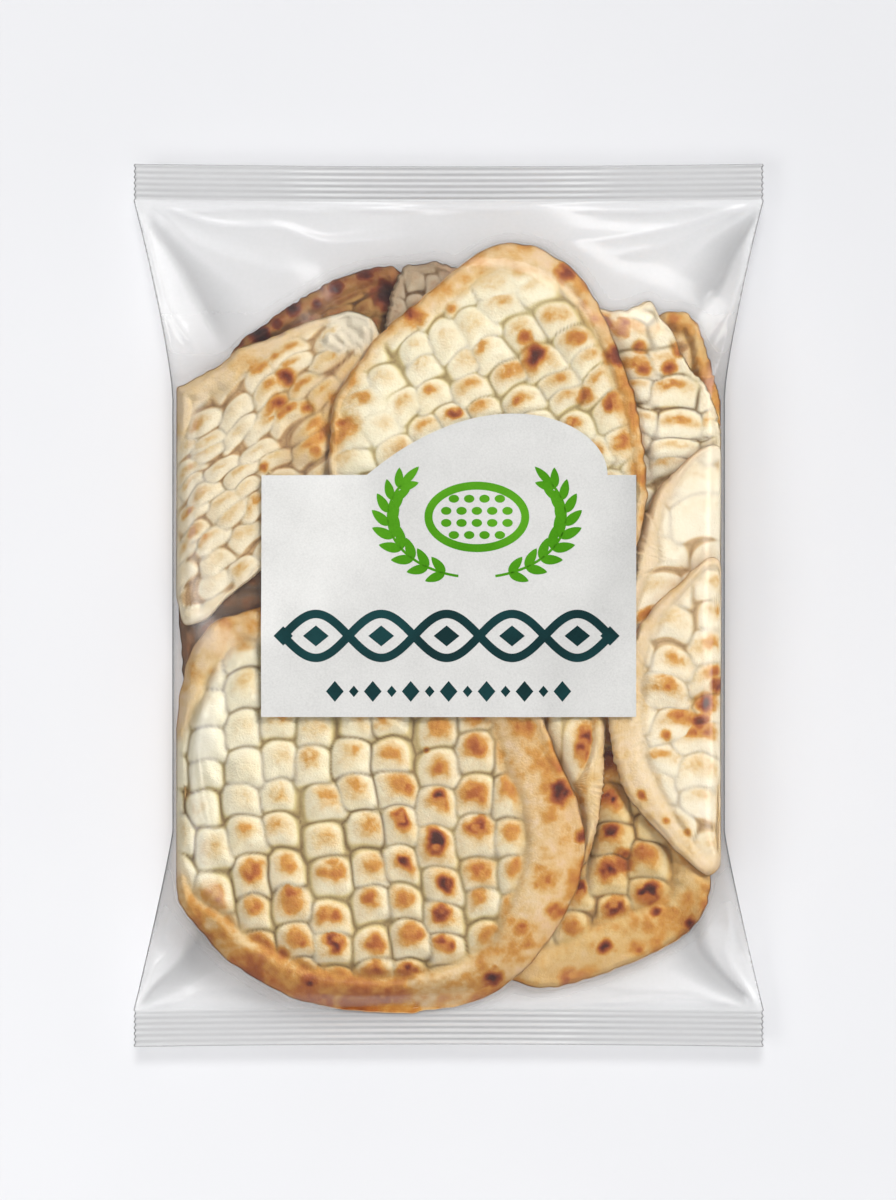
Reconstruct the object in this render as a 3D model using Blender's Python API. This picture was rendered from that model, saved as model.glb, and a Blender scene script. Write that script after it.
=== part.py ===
"""A clear pillow bag of saj bread with a paper label, lying on its back on a table.

Metres, +Z up. The origin is on the table, under the middle of the bag. +Y points to the bag's
top seal and +X to the right hand side of the label. The bag is one closed solid: a flat bottom,
rounded sides, a front film drawn tight over a shingled pile of oval breads, and a ribbed seal
across each end. The label is a thin sheet that lies on the front film.
"""

import math

import bmesh
import bpy
import numpy as np

# Driving dimensions of the bag
PACK_WIDTH = 0.317
PACK_LENGTH = 0.442
BODY_WIDTH = 0.277
SEAL_DEPTH = 0.0185
SEAL_HEIGHT = 0.012
SIDE_SEAM_HEIGHT = 0.022
FILM_WELD = 0.0008
SIDE_SQUARENESS = 3.4

# The body narrows from the seals' width over these lengths
TOP_NECK_LENGTH = 0.096
TOP_NECK_CURVE = 1.3
BOTTOM_NECK_LENGTH = 0.090
BOTTOM_NECK_CURVE = 1.1

# The seals' pressed ribs
RIB_COUNT = 6
RIB_HEIGHT = 0.0012

# The flat underside, and how the back film turns up to the seams
FLAT_SHARE = 0.72
END_LIFT_LENGTH = 0.045
END_LIFT_CURVE = 1.6

# The lattice that the films are shaped on
COLUMNS = 46
BODY_ROWS = 54
EDGE_CROWDING = 0.35
PLANAR_ANGLE = math.radians(0.15)

# The pile of bread under the front film
PILE_GRID_STEP = 0.003
PILE_MIDDLE_HEIGHT = 0.033
PILE_END_HEIGHT = 0.007
PILE_END_CURVE = 3.0
LAYER_STEP = 0.0072
CRUST_ROUNDING = 0.009
RIM_DEPTH = 0.013
RIM_SPREAD = 0.008
RIM_RISE = 0.0026
SMOOTHING_PASSES = 110

# Each bread: centre x and y, half width, half length, turn in degrees, and layer in the pile
BREADS = {
    "back_left": (-0.060, 0.104, 0.062, 0.067, 10, 0),
    "back_middle": (0.008, 0.108, 0.050, 0.064, 0, 0),
    "back_right": (0.106, 0.094, 0.032, 0.054, 12, 0),
    "bottom_right": (0.068, -0.116, 0.062, 0.076, 0, 0),
    "left": (-0.093, 0.066, 0.054, 0.088, -25, 1),
    "top_right": (0.096, 0.088, 0.043, 0.069, 12, 1),
    "under_front": (-0.004, -0.092, 0.083, 0.096, 0, 1),
    "under_label": (-0.036, 0.014, 0.064, 0.060, 0, 1),
    "right_middle": (0.133, 0.024, 0.045, 0.062, 0, 1),
    "top_middle": (0.023, 0.072, 0.078, 0.111, 3, 2),
    "right_low": (0.138, -0.054, 0.059, 0.082, 0, 2),
    "front": (-0.036, -0.093, 0.106, 0.107, 0, 2),
}

# The label
LABEL_WIDTH = 0.186
LABEL_BOTTOM = -0.0542
LABEL_SHOULDER = 0.0658
ARCH_LEFT = -0.0405
ARCH_PEAK = 0.0325
ARCH_RIGHT = 0.0788
ARCH_RISE = 0.0305
ARCH_POINTS = 16
LABEL_THICKNESS = 0.0005
LABEL_GAP = 0.0004

# Finishes: sRGB colour, roughness
FILM_COLOUR = (0.83, 0.78, 0.68)
FILM_ROUGHNESS = 0.18
LABEL_COLOUR = (0.90, 0.90, 0.88)
LABEL_ROUGHNESS = 0.75

HALF_LENGTH = PACK_LENGTH / 2
SEAL_LINE = HALF_LENGTH - SEAL_DEPTH
RIB_ROWS = 2 * RIB_COUNT


def clear_scene():
    for obj in list(bpy.data.objects):
        bpy.data.objects.remove(obj, do_unlink=True)


def finish(name, colour, roughness):
    """A plain finish in one sRGB colour."""
    material = bpy.data.materials.new(name)
    material.use_nodes = True
    shader = material.node_tree.nodes["Principled BSDF"]
    linear = [channel**2.2 for channel in colour]
    shader.inputs["Base Color"].default_value = (*linear, 1.0)
    shader.inputs["Roughness"].default_value = roughness
    shader.inputs["Metallic"].default_value = 0.0
    return material


def new_object(name, mesh_source, collection, material):
    """An object of this name from a bmesh, in a collection, with one material."""
    mesh = bpy.data.meshes.new(name)
    mesh_source.to_mesh(mesh)
    mesh_source.free()
    mesh.materials.append(material)
    obj = bpy.data.objects.new(name, mesh)
    collection.objects.link(obj)
    return obj


def smooth_ramp(value):
    """0 below 0, 1 above 1, and a smooth rise between them."""
    t = np.clip(value, 0.0, 1.0)
    return t * t * (3 - 2 * t)


def pile_dome(y):
    """Height of the pile under its top layers, which thins towards the bag's ends."""
    along = np.clip(np.abs(y) / SEAL_LINE, 0.0, 1.0)
    return PILE_END_HEIGHT + (PILE_MIDDLE_HEIGHT - PILE_END_HEIGHT) * (1 - along**PILE_END_CURVE)


def bread_top(x, y, bread):
    """Height of one bread's upper face, and 0 outside its outline."""
    centre_x, centre_y, half_width, half_length, turn, layer = bread
    angle = math.radians(turn)
    across = (x - centre_x) * math.cos(angle) + (y - centre_y) * math.sin(angle)
    along = (y - centre_y) * math.cos(angle) - (x - centre_x) * math.sin(angle)
    reach = np.sqrt((across / half_width) ** 2 + (along / half_length) ** 2)
    depth = (1 - reach) * min(half_width, half_length)
    inward = np.clip(depth / CRUST_ROUNDING, 0.0, 1.0)
    crust = np.sqrt(1 - (1 - inward) ** 2)
    rim = RIM_RISE * np.exp(-(((depth - RIM_DEPTH) / RIM_SPREAD) ** 2))
    height = pile_dome(y) + LAYER_STEP * (layer + crust) + rim
    return np.where(depth > 0, height, 0.0)


def taut_film():
    """The front film's height on an even grid: drawn tight from seal to seal over the breads."""
    columns = round(BODY_WIDTH / PILE_GRID_STEP) + 1
    rows = round(2 * SEAL_LINE / PILE_GRID_STEP) + 1
    xs = np.linspace(-BODY_WIDTH / 2, BODY_WIDTH / 2, columns)
    ys = np.linspace(-SEAL_LINE, SEAL_LINE, rows)
    x, y = np.meshgrid(xs, ys)
    breads = np.max([bread_top(x, y, bread) for bread in BREADS.values()], axis=0)
    film = np.maximum(breads, SEAL_HEIGHT)
    film[0] = film[-1] = SEAL_HEIGHT
    for _ in range(SMOOTHING_PASSES):
        wide = np.pad(film, ((0, 0), (1, 1)), mode="edge")
        mean = (wide[1:-1, :-2] + wide[1:-1, 2:] + film[:-2] + film[2:]) / 4
        film[1:-1] = np.maximum(mean, breads[1:-1])
    for _ in range(2):
        wide = np.pad(film, ((0, 0), (1, 1)), mode="edge")
        film[1:-1] = (wide[1:-1, :-2] + wide[1:-1, 2:] + film[:-2] + film[2:]) / 4
    return film


def film_height(film, x, y):
    """The taut film's height at one point, read between the grid's points."""
    rows, columns = film.shape
    across = np.clip((x / BODY_WIDTH + 0.5) * (columns - 1), 0, columns - 1.001)
    along = np.clip((y / SEAL_LINE + 1) / 2 * (rows - 1), 0, rows - 1.001)
    column, row = int(across), int(along)
    right, up = across - column, along - row
    low = film[row, column] * (1 - right) + film[row, column + 1] * right
    high = film[row + 1, column] * (1 - right) + film[row + 1, column + 1] * right
    return float(low * (1 - up) + high * up)


def half_width(y):
    """Half the bag's width, from the seals' full width to the narrower filled body."""
    inset = max(0.0, SEAL_LINE - abs(y))
    flare = (PACK_WIDTH - BODY_WIDTH) / 2
    neck, curve = (TOP_NECK_LENGTH, TOP_NECK_CURVE) if y > 0 else (BOTTOM_NECK_LENGTH, BOTTOM_NECK_CURVE)
    return BODY_WIDTH / 2 + flare * max(0.0, 1 - inset / neck) ** curve


def column_share(column):
    """A column's place across the bag, from -1 to 1, with the columns crowded at the sides."""
    even = 2 * column / COLUMNS - 1
    return even * (1 + EDGE_CROWDING - EDGE_CROWDING * even * even)


def row_y(row):
    """A row's place along the bag: ribs across each seal, and even rows on the body."""
    rib_pitch = SEAL_DEPTH / RIB_ROWS
    if row <= RIB_ROWS:
        return -HALF_LENGTH + rib_pitch * row
    if row >= RIB_ROWS + BODY_ROWS:
        return SEAL_LINE + rib_pitch * (row - RIB_ROWS - BODY_ROWS)
    return SEAL_LINE * (2 * (row - RIB_ROWS) / BODY_ROWS - 1)


def rib_lift(row):
    """A seal's ribs go up and down by turns, and end level where they meet the body."""
    body_end = RIB_ROWS + BODY_ROWS
    from_body = RIB_ROWS - row if row < RIB_ROWS else row - body_end
    if from_body <= 0:
        return 0.0
    return RIB_HEIGHT / 2 if from_body % 2 else -RIB_HEIGHT / 2


def seam_height(y):
    """Height of the side seam, which comes down to the seals at both ends."""
    inset = max(0.0, SEAL_LINE - abs(y))
    rise = float(smooth_ramp(inset / BOTTOM_NECK_LENGTH))
    return SEAL_HEIGHT + (SIDE_SEAM_HEIGHT - SEAL_HEIGHT) * rise


def front_point(column, row, film):
    """A point of the front film, by its column and row on the lattice."""
    share, y = column_share(column), row_y(row)
    x = half_width(y) * share
    if abs(y) >= SEAL_LINE - 1e-6:
        return x, y, SEAL_HEIGHT + rib_lift(row) + FILM_WELD / 2
    seam = seam_height(y)
    side = max(0.0, 1 - abs(share) ** SIDE_SQUARENESS) ** (1 / SIDE_SQUARENESS)
    return x, y, seam + FILM_WELD / 2 + (film_height(film, x, y) - seam) * side


def back_point(column, row):
    """A point of the back film: flat on the table, turned up to the side seams and the seals."""
    share, y = column_share(column), row_y(row)
    x = half_width(y) * share
    if abs(y) >= SEAL_LINE - 1e-6:
        return x, y, SEAL_HEIGHT + rib_lift(row) - FILM_WELD / 2
    outward = max(0.0, (abs(share) - FLAT_SHARE) / (1 - FLAT_SHARE))
    side_lift = 1 - math.sqrt(max(0.0, 1 - outward * outward))
    end_lift = max(0.0, 1 - (SEAL_LINE - abs(y)) / END_LIFT_LENGTH) ** END_LIFT_CURVE
    lift = 1 - (1 - side_lift) * (1 - end_lift)
    return x, y, (seam_height(y) - FILM_WELD / 2) * lift


def add_film(bag, point_at):
    """Adds a grid to the bag's mesh and puts each of its points in place."""
    rows = BODY_ROWS + 2 * RIB_ROWS
    made = bmesh.ops.create_grid(bag, x_segments=COLUMNS, y_segments=rows, size=1.0)
    for vertex in made["verts"]:
        column = round((vertex.co.x + 1) / 2 * COLUMNS)
        row = round((vertex.co.y + 1) / 2 * rows)
        vertex.co = point_at(column, row)


def is_on_plain_ground(face):
    """True for a face in a seal or on the flat underside, where big flat faces are enough."""
    centre = face.calc_center_median()
    return abs(centre.y) > SEAL_LINE or all(vertex.co.z < 1e-6 for vertex in face.verts)


def sealed_bag(film, collection):
    """The filled and sealed bag as one closed solid."""
    bag = bmesh.new()
    add_film(bag, lambda column, row: front_point(column, row, film))
    add_film(bag, back_point)
    open_edges = [edge for edge in bag.edges if edge.is_boundary]
    bmesh.ops.bridge_loops(bag, edges=open_edges)
    bmesh.ops.recalc_face_normals(bag, faces=list(bag.faces))
    plain_edges = [edge for edge in bag.edges if all(is_on_plain_ground(face) for face in edge.link_faces)]
    plain_vertices = list({vertex for edge in plain_edges for vertex in edge.verts})
    bmesh.ops.dissolve_limit(bag, angle_limit=PLANAR_ANGLE, verts=plain_vertices, edges=plain_edges)
    bmesh.ops.triangulate(bag, faces=list(bag.faces))
    obj = new_object("sealed_bag", bag, collection, finish("clear_film", FILM_COLOUR, FILM_ROUGHNESS))
    obj.data.shade_smooth()
    obj.data.set_sharp_from_angle(angle=math.radians(40))
    return obj


def label_outline():
    """The label's edge, anticlockwise: a rectangle with an arch that is steep on its right side."""
    half = LABEL_WIDTH / 2
    outline = [(-half, LABEL_BOTTOM), (half, LABEL_BOTTOM), (half, LABEL_SHOULDER)]
    for step in range(ARCH_POINTS):
        angle = math.pi / 2 * step / ARCH_POINTS
        x = ARCH_PEAK + (ARCH_RIGHT - ARCH_PEAK) * math.cos(angle)
        outline.append((x, LABEL_SHOULDER + ARCH_RISE * math.sin(angle)))
    for step in range(ARCH_POINTS + 1):
        share = step / ARCH_POINTS
        x = ARCH_PEAK + (ARCH_LEFT - ARCH_PEAK) * share
        outline.append((x, LABEL_SHOULDER + ARCH_RISE * (1 - share * share)))
    outline.append((-half, LABEL_SHOULDER))
    return outline


def label_cutter(collection):
    """An upright block with the label's outline, made from a flat curve and its thickness."""
    outline = bpy.data.curves.new("label_outline", "CURVE")
    outline.dimensions = "2D"
    outline.fill_mode = "BOTH"
    outline.extrude = 0.05
    points = label_outline()
    spline = outline.splines.new("POLY")
    spline.points.add(len(points) - 1)
    for point, (x, y) in zip(spline.points, points):
        point.co = (x, y, 0.0, 1.0)
    spline.use_cyclic_u = True
    curve = bpy.data.objects.new("label_outline", outline)
    curve.location = (0.0, 0.0, 0.05)
    collection.objects.link(curve)
    bpy.context.view_layer.update()
    evaluated = curve.evaluated_get(bpy.context.evaluated_depsgraph_get())
    mesh = bpy.data.meshes.new_from_object(evaluated)
    block = bmesh.new()
    block.from_mesh(mesh)
    bmesh.ops.remove_doubles(block, verts=list(block.verts), dist=1e-6)
    bmesh.ops.recalc_face_normals(block, faces=list(block.faces))
    block.to_mesh(mesh)
    block.free()
    cutter = bpy.data.objects.new("label_block", mesh)
    cutter.matrix_world = curve.matrix_world.copy()
    collection.objects.link(cutter)
    bpy.data.objects.remove(curve)
    cutter.hide_render = True
    cutter.display_type = "WIRE"
    return cutter


def label_sheet(film, collection, cutters):
    """The label: a thin sheet that follows the front film, cut to its outline."""
    half = LABEL_WIDTH / 2
    top = LABEL_SHOULDER + ARCH_RISE
    wide = [column for column in range(COLUMNS + 1) if abs(column_share(column)) * BODY_WIDTH / 2 < half]
    tall = [row for row in range(RIB_ROWS, RIB_ROWS + BODY_ROWS) if LABEL_BOTTOM < row_y(row) < top]
    first_column, last_column = wide[0] - 1, wide[-1] + 1
    first_row, last_row = tall[0] - 1, tall[-1] + 1
    columns, rows = last_column - first_column, last_row - first_row
    sheet = bmesh.new()
    made = bmesh.ops.create_grid(sheet, x_segments=columns, y_segments=rows, size=1.0)
    for vertex in made["verts"]:
        column = first_column + round((vertex.co.x + 1) / 2 * columns)
        row = first_row + round((vertex.co.y + 1) / 2 * rows)
        x, y, z = front_point(column, row, film)
        vertex.co = (x, y, z + LABEL_GAP)
    bmesh.ops.triangulate(sheet, faces=list(sheet.faces))
    lower_faces = list(sheet.faces)
    raised = bmesh.ops.extrude_face_region(sheet, geom=lower_faces)
    for element in raised["geom"]:
        if isinstance(element, bmesh.types.BMVert):
            element.co.z += LABEL_THICKNESS
    bmesh.ops.recalc_face_normals(sheet, faces=list(sheet.faces))
    obj = new_object("label", sheet, collection, finish("label_paper", LABEL_COLOUR, LABEL_ROUGHNESS))
    cut = obj.modifiers.new("outline", "BOOLEAN")
    cut.operation = "INTERSECT"
    cut.object = label_cutter(cutters)
    return obj


def main():
    clear_scene()
    parts = bpy.data.collections.new("bread_pack")
    cutters = bpy.data.collections.new("cutters")
    bpy.context.scene.collection.children.link(parts)
    bpy.context.scene.collection.children.link(cutters)
    film = taut_film()
    sealed_bag(film, parts)
    label_sheet(film, parts, cutters)


main()
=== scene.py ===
"""The looks of a clear pillow bag of saj bread: the breads, the film, the label and its print.

The frame is the CAD model, in metres: the bag lies on its back, +Z out of its front and +Y towards
its top seal. Sizes inside a section are in millimetres where a name says so.
"""

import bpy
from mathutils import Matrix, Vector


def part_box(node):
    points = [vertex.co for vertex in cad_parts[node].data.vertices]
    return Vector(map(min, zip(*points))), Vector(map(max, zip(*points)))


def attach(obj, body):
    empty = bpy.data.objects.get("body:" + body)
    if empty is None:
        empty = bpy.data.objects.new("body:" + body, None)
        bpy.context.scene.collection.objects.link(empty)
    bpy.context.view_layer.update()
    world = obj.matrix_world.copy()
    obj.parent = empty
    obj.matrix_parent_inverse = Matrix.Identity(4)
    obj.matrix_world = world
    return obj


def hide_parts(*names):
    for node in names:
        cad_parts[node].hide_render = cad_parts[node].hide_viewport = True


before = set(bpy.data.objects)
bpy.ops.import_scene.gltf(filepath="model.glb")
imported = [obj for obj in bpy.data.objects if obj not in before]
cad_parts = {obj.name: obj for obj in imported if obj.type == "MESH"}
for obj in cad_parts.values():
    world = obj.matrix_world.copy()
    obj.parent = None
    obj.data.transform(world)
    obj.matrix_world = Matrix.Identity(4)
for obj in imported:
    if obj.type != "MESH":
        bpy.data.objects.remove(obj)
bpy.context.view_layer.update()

import math

import bmesh
import bpy
import numpy as np
from mathutils import Vector
from mathutils.bvhtree import BVHTree

# The film
# Clear polypropylene film, 30 micrometres thick, formed into a tube and welded flat across both ends
# by ribbed jaws. It is tight over the breads, and in the two empty necks it lies in soft folds that
# run out to the corners of the seals.
MM = 0.001
FILM_COLUMNS = 150
FILM_BODY_ROWS = 200
CROWDING = 0.42
SEAL_DEPTH_MM = 18.5
SEAL_HEIGHT_MM = 12.0
SEAL_BOW_MM = 1.3
RIB_COUNT = 6
ROWS_PER_RIB = 7
RIB_PITCH_MM = 2.95
RIB_RISE_MM = 0.65
WELD_GAP_MM = 0.3
SCALLOP_MM = 0.7
TOP_STRETCH_MM = 2.2
BACK_LIFT_MM = 0.15
FRONT_MILKINESS = 0.3
BACK_MILKINESS = 0.5
CORNER_WIDTH_SHARE = 0.35

solid = bmesh.new()
solid.from_mesh(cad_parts["sealed_bag"].data)
bmesh.ops.remove_doubles(solid, verts=list(solid.verts), dist=1e-6)
solid_tree = BVHTree.FromBMesh(solid)
side_rows = {}
for vertex in solid.verts:
    side_rows.setdefault(round(vertex.co.y / MM, 2), []).append((vertex.co.x / MM, vertex.co.z / MM))
solid.free()

# The side seam: how far out and how high it lies in each row of the solid
seam_y = np.array(sorted(side_rows))
seam_half = np.array([max(side_rows[y])[0] for y in seam_y])
seam_z = np.array([np.mean([z for x, z in side_rows[y] if x > max(side_rows[y])[0] - 0.01]) for y in seam_y])
HALF_LENGTH_MM = float(seam_y[-1])
SEAL_LINE_MM = HALF_LENGTH_MM - SEAL_DEPTH_MM


def smooth_step(value):
    """0 below 0, 1 above 1, and a smooth rise between them."""
    t = np.clip(value, 0.0, 1.0)
    return t * t * (3 - 2 * t)


def lumps(x, y, size, seed):
    """Smooth random values from 0 to 1 over a plane, in lumps about size across."""
    table = np.random.default_rng(seed).random((64, 64))
    u, v = x / size, y / size
    i, j = np.floor(u).astype(int), np.floor(v).astype(int)
    right, up = smooth_step(u - i), smooth_step(v - j)
    low = table[i % 64, j % 64] * (1 - right) + table[(i + 1) % 64, j % 64] * right
    high = table[i % 64, (j + 1) % 64] * (1 - right) + table[(i + 1) % 64, (j + 1) % 64] * right
    return low * (1 - up) + high * up


def heights(tree, x_mm, y_mm, from_above):
    """Heights in mm at which upright rays first meet a shape, and 0 where they miss it."""
    start, way = (0.3, Vector((0, 0, -1))) if from_above else (-0.1, Vector((0, 0, 1)))
    found = np.zeros(x_mm.shape)
    for place in np.ndindex(x_mm.shape):
        hit = tree.ray_cast(Vector((x_mm[place] * MM, y_mm[place] * MM, start)), way)
        if hit[0] is not None:
            found[place] = hit[0].z / MM
    return found


def blurred(field):
    """Each value averaged with its neighbours, twice as heavy in the middle."""
    wide = np.pad(field, 1, mode="edge")
    rows = (wide[:-2] + 2 * wide[1:-1] + wide[2:]) / 4
    return (rows[:, :-2] + 2 * rows[:, 1:-1] + rows[:, 2:]) / 4


def rounded_route(points):
    """A polyline with its corners cut twice, so that it bends softly."""
    route = np.array(points, float)
    for _ in range(2):
        starts, ends = route[:-1], route[1:]
        cut = np.stack([0.75 * starts + 0.25 * ends, 0.25 * starts + 0.75 * ends], axis=1).reshape(-1, 2)
        route = np.vstack([route[:1], cut, route[-1:]])
    return route


# The folds, by corner or side. Each has its rise in mm, below 0 for a hollow, its reach in mm to the
# left and to the right of its route, and the route.
FOLDS = [
    # The upper left corner
    (2.2, 15, 7, [(-155.8, 200), (-151, 184), (-147, 172), (-141, 152), (-135, 141), (-126, 129), (-130, 119), (-134, 110)]),
    (1.0, 3, 4, [(-155.8, 199), (-147, 165), (-140, 130), (-134, 111)]),
    (-1.3, 22, 9, [(-155, 199), (-149, 189), (-135, 174), (-127, 160), (-117, 143), (-108, 128)]),
    (1.0, 10, 16, [(-152, 200), (-142, 195), (-129, 183), (-120, 179), (-90, 169), (-60, 166)]),
    # Along the top seal
    (0.8, 2.5, 6, [(-148, 200), (-131, 198), (-120, 197.7), (-99, 199.7), (-90, 199.7), (-77, 198.2), (-50, 198.3)]),
    (1.5, 5, 14, [(-150, 200), (-132, 196), (-120, 192), (-103, 190), (-85, 191), (-68, 184), (-59, 182), (-35, 184), (0, 187)]),
    (0.7, 2.5, 5, [(-56, 198.3), (-20, 199.6), (20, 199), (62, 198.6)]),
    (0.8, 2.5, 5, [(55, 198.6), (76, 198.7), (106, 197.6), (118, 199.2), (128, 200.6), (148, 200.8)]),
    (1.7, 14, 10, [(156, 201), (135, 196), (118, 190), (95, 186), (70, 183), (45, 184)]),
    (1.0, 10, 8, [(152, 199.5), (133, 191), (115, 182), (98, 178), (74, 174)]),
    # The upper right corner
    (-1.8, 8, 20, [(157, 200), (152, 191), (145, 182), (141, 175), (137, 165), (130, 156), (123, 145)]),
    (2.1, 7, 14, [(155.8, 198), (149, 174), (146, 158), (137, 142), (129, 129), (129, 124)]),
    (1.0, 4, 3, [(155, 196), (149, 169), (145, 152), (139, 132), (133, 114)]),
    # The lower left corner
    (2.1, 7, 14, [(-157, -200), (-154, -189), (-150, -181), (-142, -174), (-140, -171), (-143, -163), (-136, -145)]),
    (-1.3, 9, 22, [(-156, -201), (-150, -193), (-134, -178), (-131, -172), (-123, -164), (-125, -154)]),
    (1.1, 12, 5, [(-154, -202), (-141, -199.5), (-129, -196), (-119, -192), (-111, -191.7), (-98, -193.2), (-78, -192)]),
    # The lower right corner
    (2.1, 14, 7, [(156.5, -201), (147, -188), (140, -177), (139, -172), (142, -158), (137, -138)]),
    (1.2, 5, 12, [(150, -201.5), (133, -197.5), (124, -194), (117, -193), (87, -192.5), (64, -187)]),
    (0.6, 3, 3, [(148, -202), (136, -199), (122, -196.3), (105, -197), (86, -199.6), (56, -200.5)]),
    (-2.4, 20, 10, [(152, -199), (135, -183), (122, -168), (126, -148)]),
    # Over the breads: tight lines down both sides and beside the label
    (0.8, 9, 4, [(-125, -72), (-121, -95), (-118, -114)]),
    (0.7, 3, 6, [(134, 18), (132.5, -40), (134, -112)]),
    (0.5, 2, 3, [(-133, -8), (-132, -30), (-133, -56)]),
    (0.5, 5, 5, [(-79, -58), (-80, -76), (-78, -98)]),
    (-0.7, 14, 14, [(-71, 78), (-73, 10), (-72, -62)]),
]


def fold_relief(x, y):
    """How far in mm the folds raise the front film at these points."""
    relief = np.zeros_like(x)
    for rise, left_reach, right_reach, points in FOLDS:
        route = rounded_route(points)
        steps = np.diff(route, axis=0)
        lengths = np.hypot(*steps.T)
        nearest = np.full(x.shape, 1e6)
        side = np.zeros_like(x)
        travelled = np.zeros_like(x)
        begun = 0.0
        for start, step, length in zip(route, steps, lengths):
            along = np.clip(((x - start[0]) * step[0] + (y - start[1]) * step[1]) / length**2, 0, 1)
            away_x, away_y = x - start[0] - along * step[0], y - start[1] - along * step[1]
            distance = np.hypot(away_x, away_y)
            closer = distance < nearest
            nearest = np.where(closer, distance, nearest)
            side = np.where(closer, step[0] * away_y - step[1] * away_x, side)
            travelled = np.where(closer, (begun + along * length) / lengths.sum(), travelled)
            begun += length
        spread = CORNER_WIDTH_SHARE + (1 - CORNER_WIDTH_SHARE) * smooth_step(travelled / 0.45)
        reach = np.where(side > 0, left_reach, right_reach) * spread
        taper = smooth_step(travelled / 0.12) * smooth_step((1 - travelled) / 0.3)
        relief += rise * taper * np.clip(1 - nearest / reach, 0, 1) ** 2
    return relief


def film_row_places():
    """The rows of points along the bag in mm: fine across the ribs, and finer in the necks than between them."""
    seal = np.linspace(0, SEAL_DEPTH_MM, RIB_COUNT * ROWS_PER_RIB + 1)
    share = np.linspace(-1, 1, FILM_BODY_ROWS + 1)
    body = SEAL_LINE_MM * (share + CROWDING * np.sin(math.pi * share) / math.pi)
    return np.concatenate([seal - HALF_LENGTH_MM, body[1:-1], SEAL_LINE_MM + seal])


def film_points():
    """The front film's and the back film's points in mm, row by row."""
    rows_y = film_row_places()
    even = np.linspace(-1, 1, FILM_COLUMNS + 1)
    share = even + CROWDING * np.sin(math.pi * even) / math.pi
    half = np.interp(rows_y, seam_y, seam_half)
    seam = np.interp(rows_y, seam_y, seam_z)
    into_seal = np.clip(np.abs(rows_y) - SEAL_LINE_MM, 0, None)
    is_seal = into_seal > 1e-6
    scallop = SCALLOP_MM * np.abs(np.sin(math.pi * into_seal / RIB_PITCH_MM)) * is_seal
    x = np.outer(half - scallop, share)
    y = np.repeat(rows_y[:, None], share.size, axis=1)
    inner = slice(1, -1)
    front, back = np.repeat(seam[:, None], share.size, axis=1), np.repeat(seam[:, None], share.size, axis=1)
    front[:, inner] = heights(solid_tree, 0.999 * x[:, inner], y[:, inner], True)
    back[:, inner] = heights(solid_tree, 0.999 * x[:, inner], y[:, inner], False)
    body = ~is_seal
    for _ in range(5):
        soft_front, soft_back = blurred(front), blurred(back)
        front[body, inner], back[body, inner] = soft_front[body, inner], soft_back[body, inner]

    # Folds and the faint unevenness of loose film, both dying out at the seals and the side seams
    edge_fade = smooth_step((1 - np.abs(share)) / 0.03)[None, :] * smooth_step((SEAL_LINE_MM - np.abs(y)) / 3.0)
    loose = smooth_step((np.abs(y) - 95) / 60)
    waves = (1.0 * (lumps(x, y, 34.0, 901) - 0.5) + 0.5 * (lumps(x, y, 13.0, 902) - 0.5)) * (0.35 + 0.65 * loose)
    front += edge_fade * (fold_relief(x, y) + waves)
    buckles = 0.6 * lumps(x, y, 21.0, 903) + 1.6 * lumps(x, y, 47.0, 904) + 0.6 * fold_relief(x, y)
    back = np.maximum(back + BACK_LIFT_MM + edge_fade * loose * buckles, BACK_LIFT_MM)
    back = np.minimum(back, front - 0.5 * edge_fade)

    # The ribs swing both films together, most at the left end and in the middle of each seal
    sweep = 0.6 + 0.4 * np.cos(4.2 * share)[None, :]
    wave = np.cos(2 * math.pi * (into_seal[:, None] - 0.3) / RIB_PITCH_MM)
    plain = smooth_step((into_seal - 0.8) / 1.2)[:, None]
    rib = SEAL_HEIGHT_MM + RIB_RISE_MM * sweep * wave * plain
    front = np.where(is_seal[:, None], rib + WELD_GAP_MM / 2, front)
    back = np.where(is_seal[:, None], rib - WELD_GAP_MM / 2, back)
    rim = np.where(is_seal[:, None], rib, seam[:, None])
    for side in (0, -1):
        front[:, side] = back[:, side] = rim[:, side]
    for end in (0, -1):
        front[end] = back[end] = rim[end]
    bow = SEAL_BOW_MM * (1 - share**2)[None, :] * smooth_step((np.abs(y) - SEAL_LINE_MM + 30) / 30)
    y = y - np.sign(y) * bow + TOP_STRETCH_MM * smooth_step((y - 150) / 50)
    weld = np.repeat(smooth_step(into_seal / 1.5)[:, None], share.size, axis=1)
    # Painted shade: the hollows of the folds are marked so that the film is drawn greyer there, as if less light
    # reached into them
    hollow_shade = 0.8 * np.clip(-edge_fade * fold_relief(x, y) / 1.4, 0, 1) ** 0.6
    return x, y, front, back, {"weld": weld, "hollow_shade": hollow_shade}, loose * (1 - weld)


def film_sheet(name, x, y, z, **marks):
    """One sheet as a grid whose points are put in place, with its marks by name."""
    bpy.ops.object.select_all(action="DESELECT")
    bpy.ops.mesh.primitive_grid_add(x_subdivisions=x.shape[1] - 1, y_subdivisions=x.shape[0] - 1, size=2)
    sheet = bpy.context.active_object
    sheet.name = sheet.data.name = name
    flat = np.empty(x.size * 3)
    sheet.data.vertices.foreach_get("co", flat)
    flat = flat.reshape(-1, 3)
    column = np.rint((flat[:, 0] + 1) / 2 * (x.shape[1] - 1)).astype(int)
    row = np.rint((flat[:, 1] + 1) / 2 * (x.shape[0] - 1)).astype(int)
    points = np.stack([x[row, column], y[row, column], z[row, column]], axis=1) * MM
    sheet.data.vertices.foreach_set("co", points.ravel())
    for mark, values in marks.items():
        sheet.data.attributes.new(mark, "FLOAT", "POINT").data.foreach_set("value", values[row, column])
    return sheet


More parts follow.
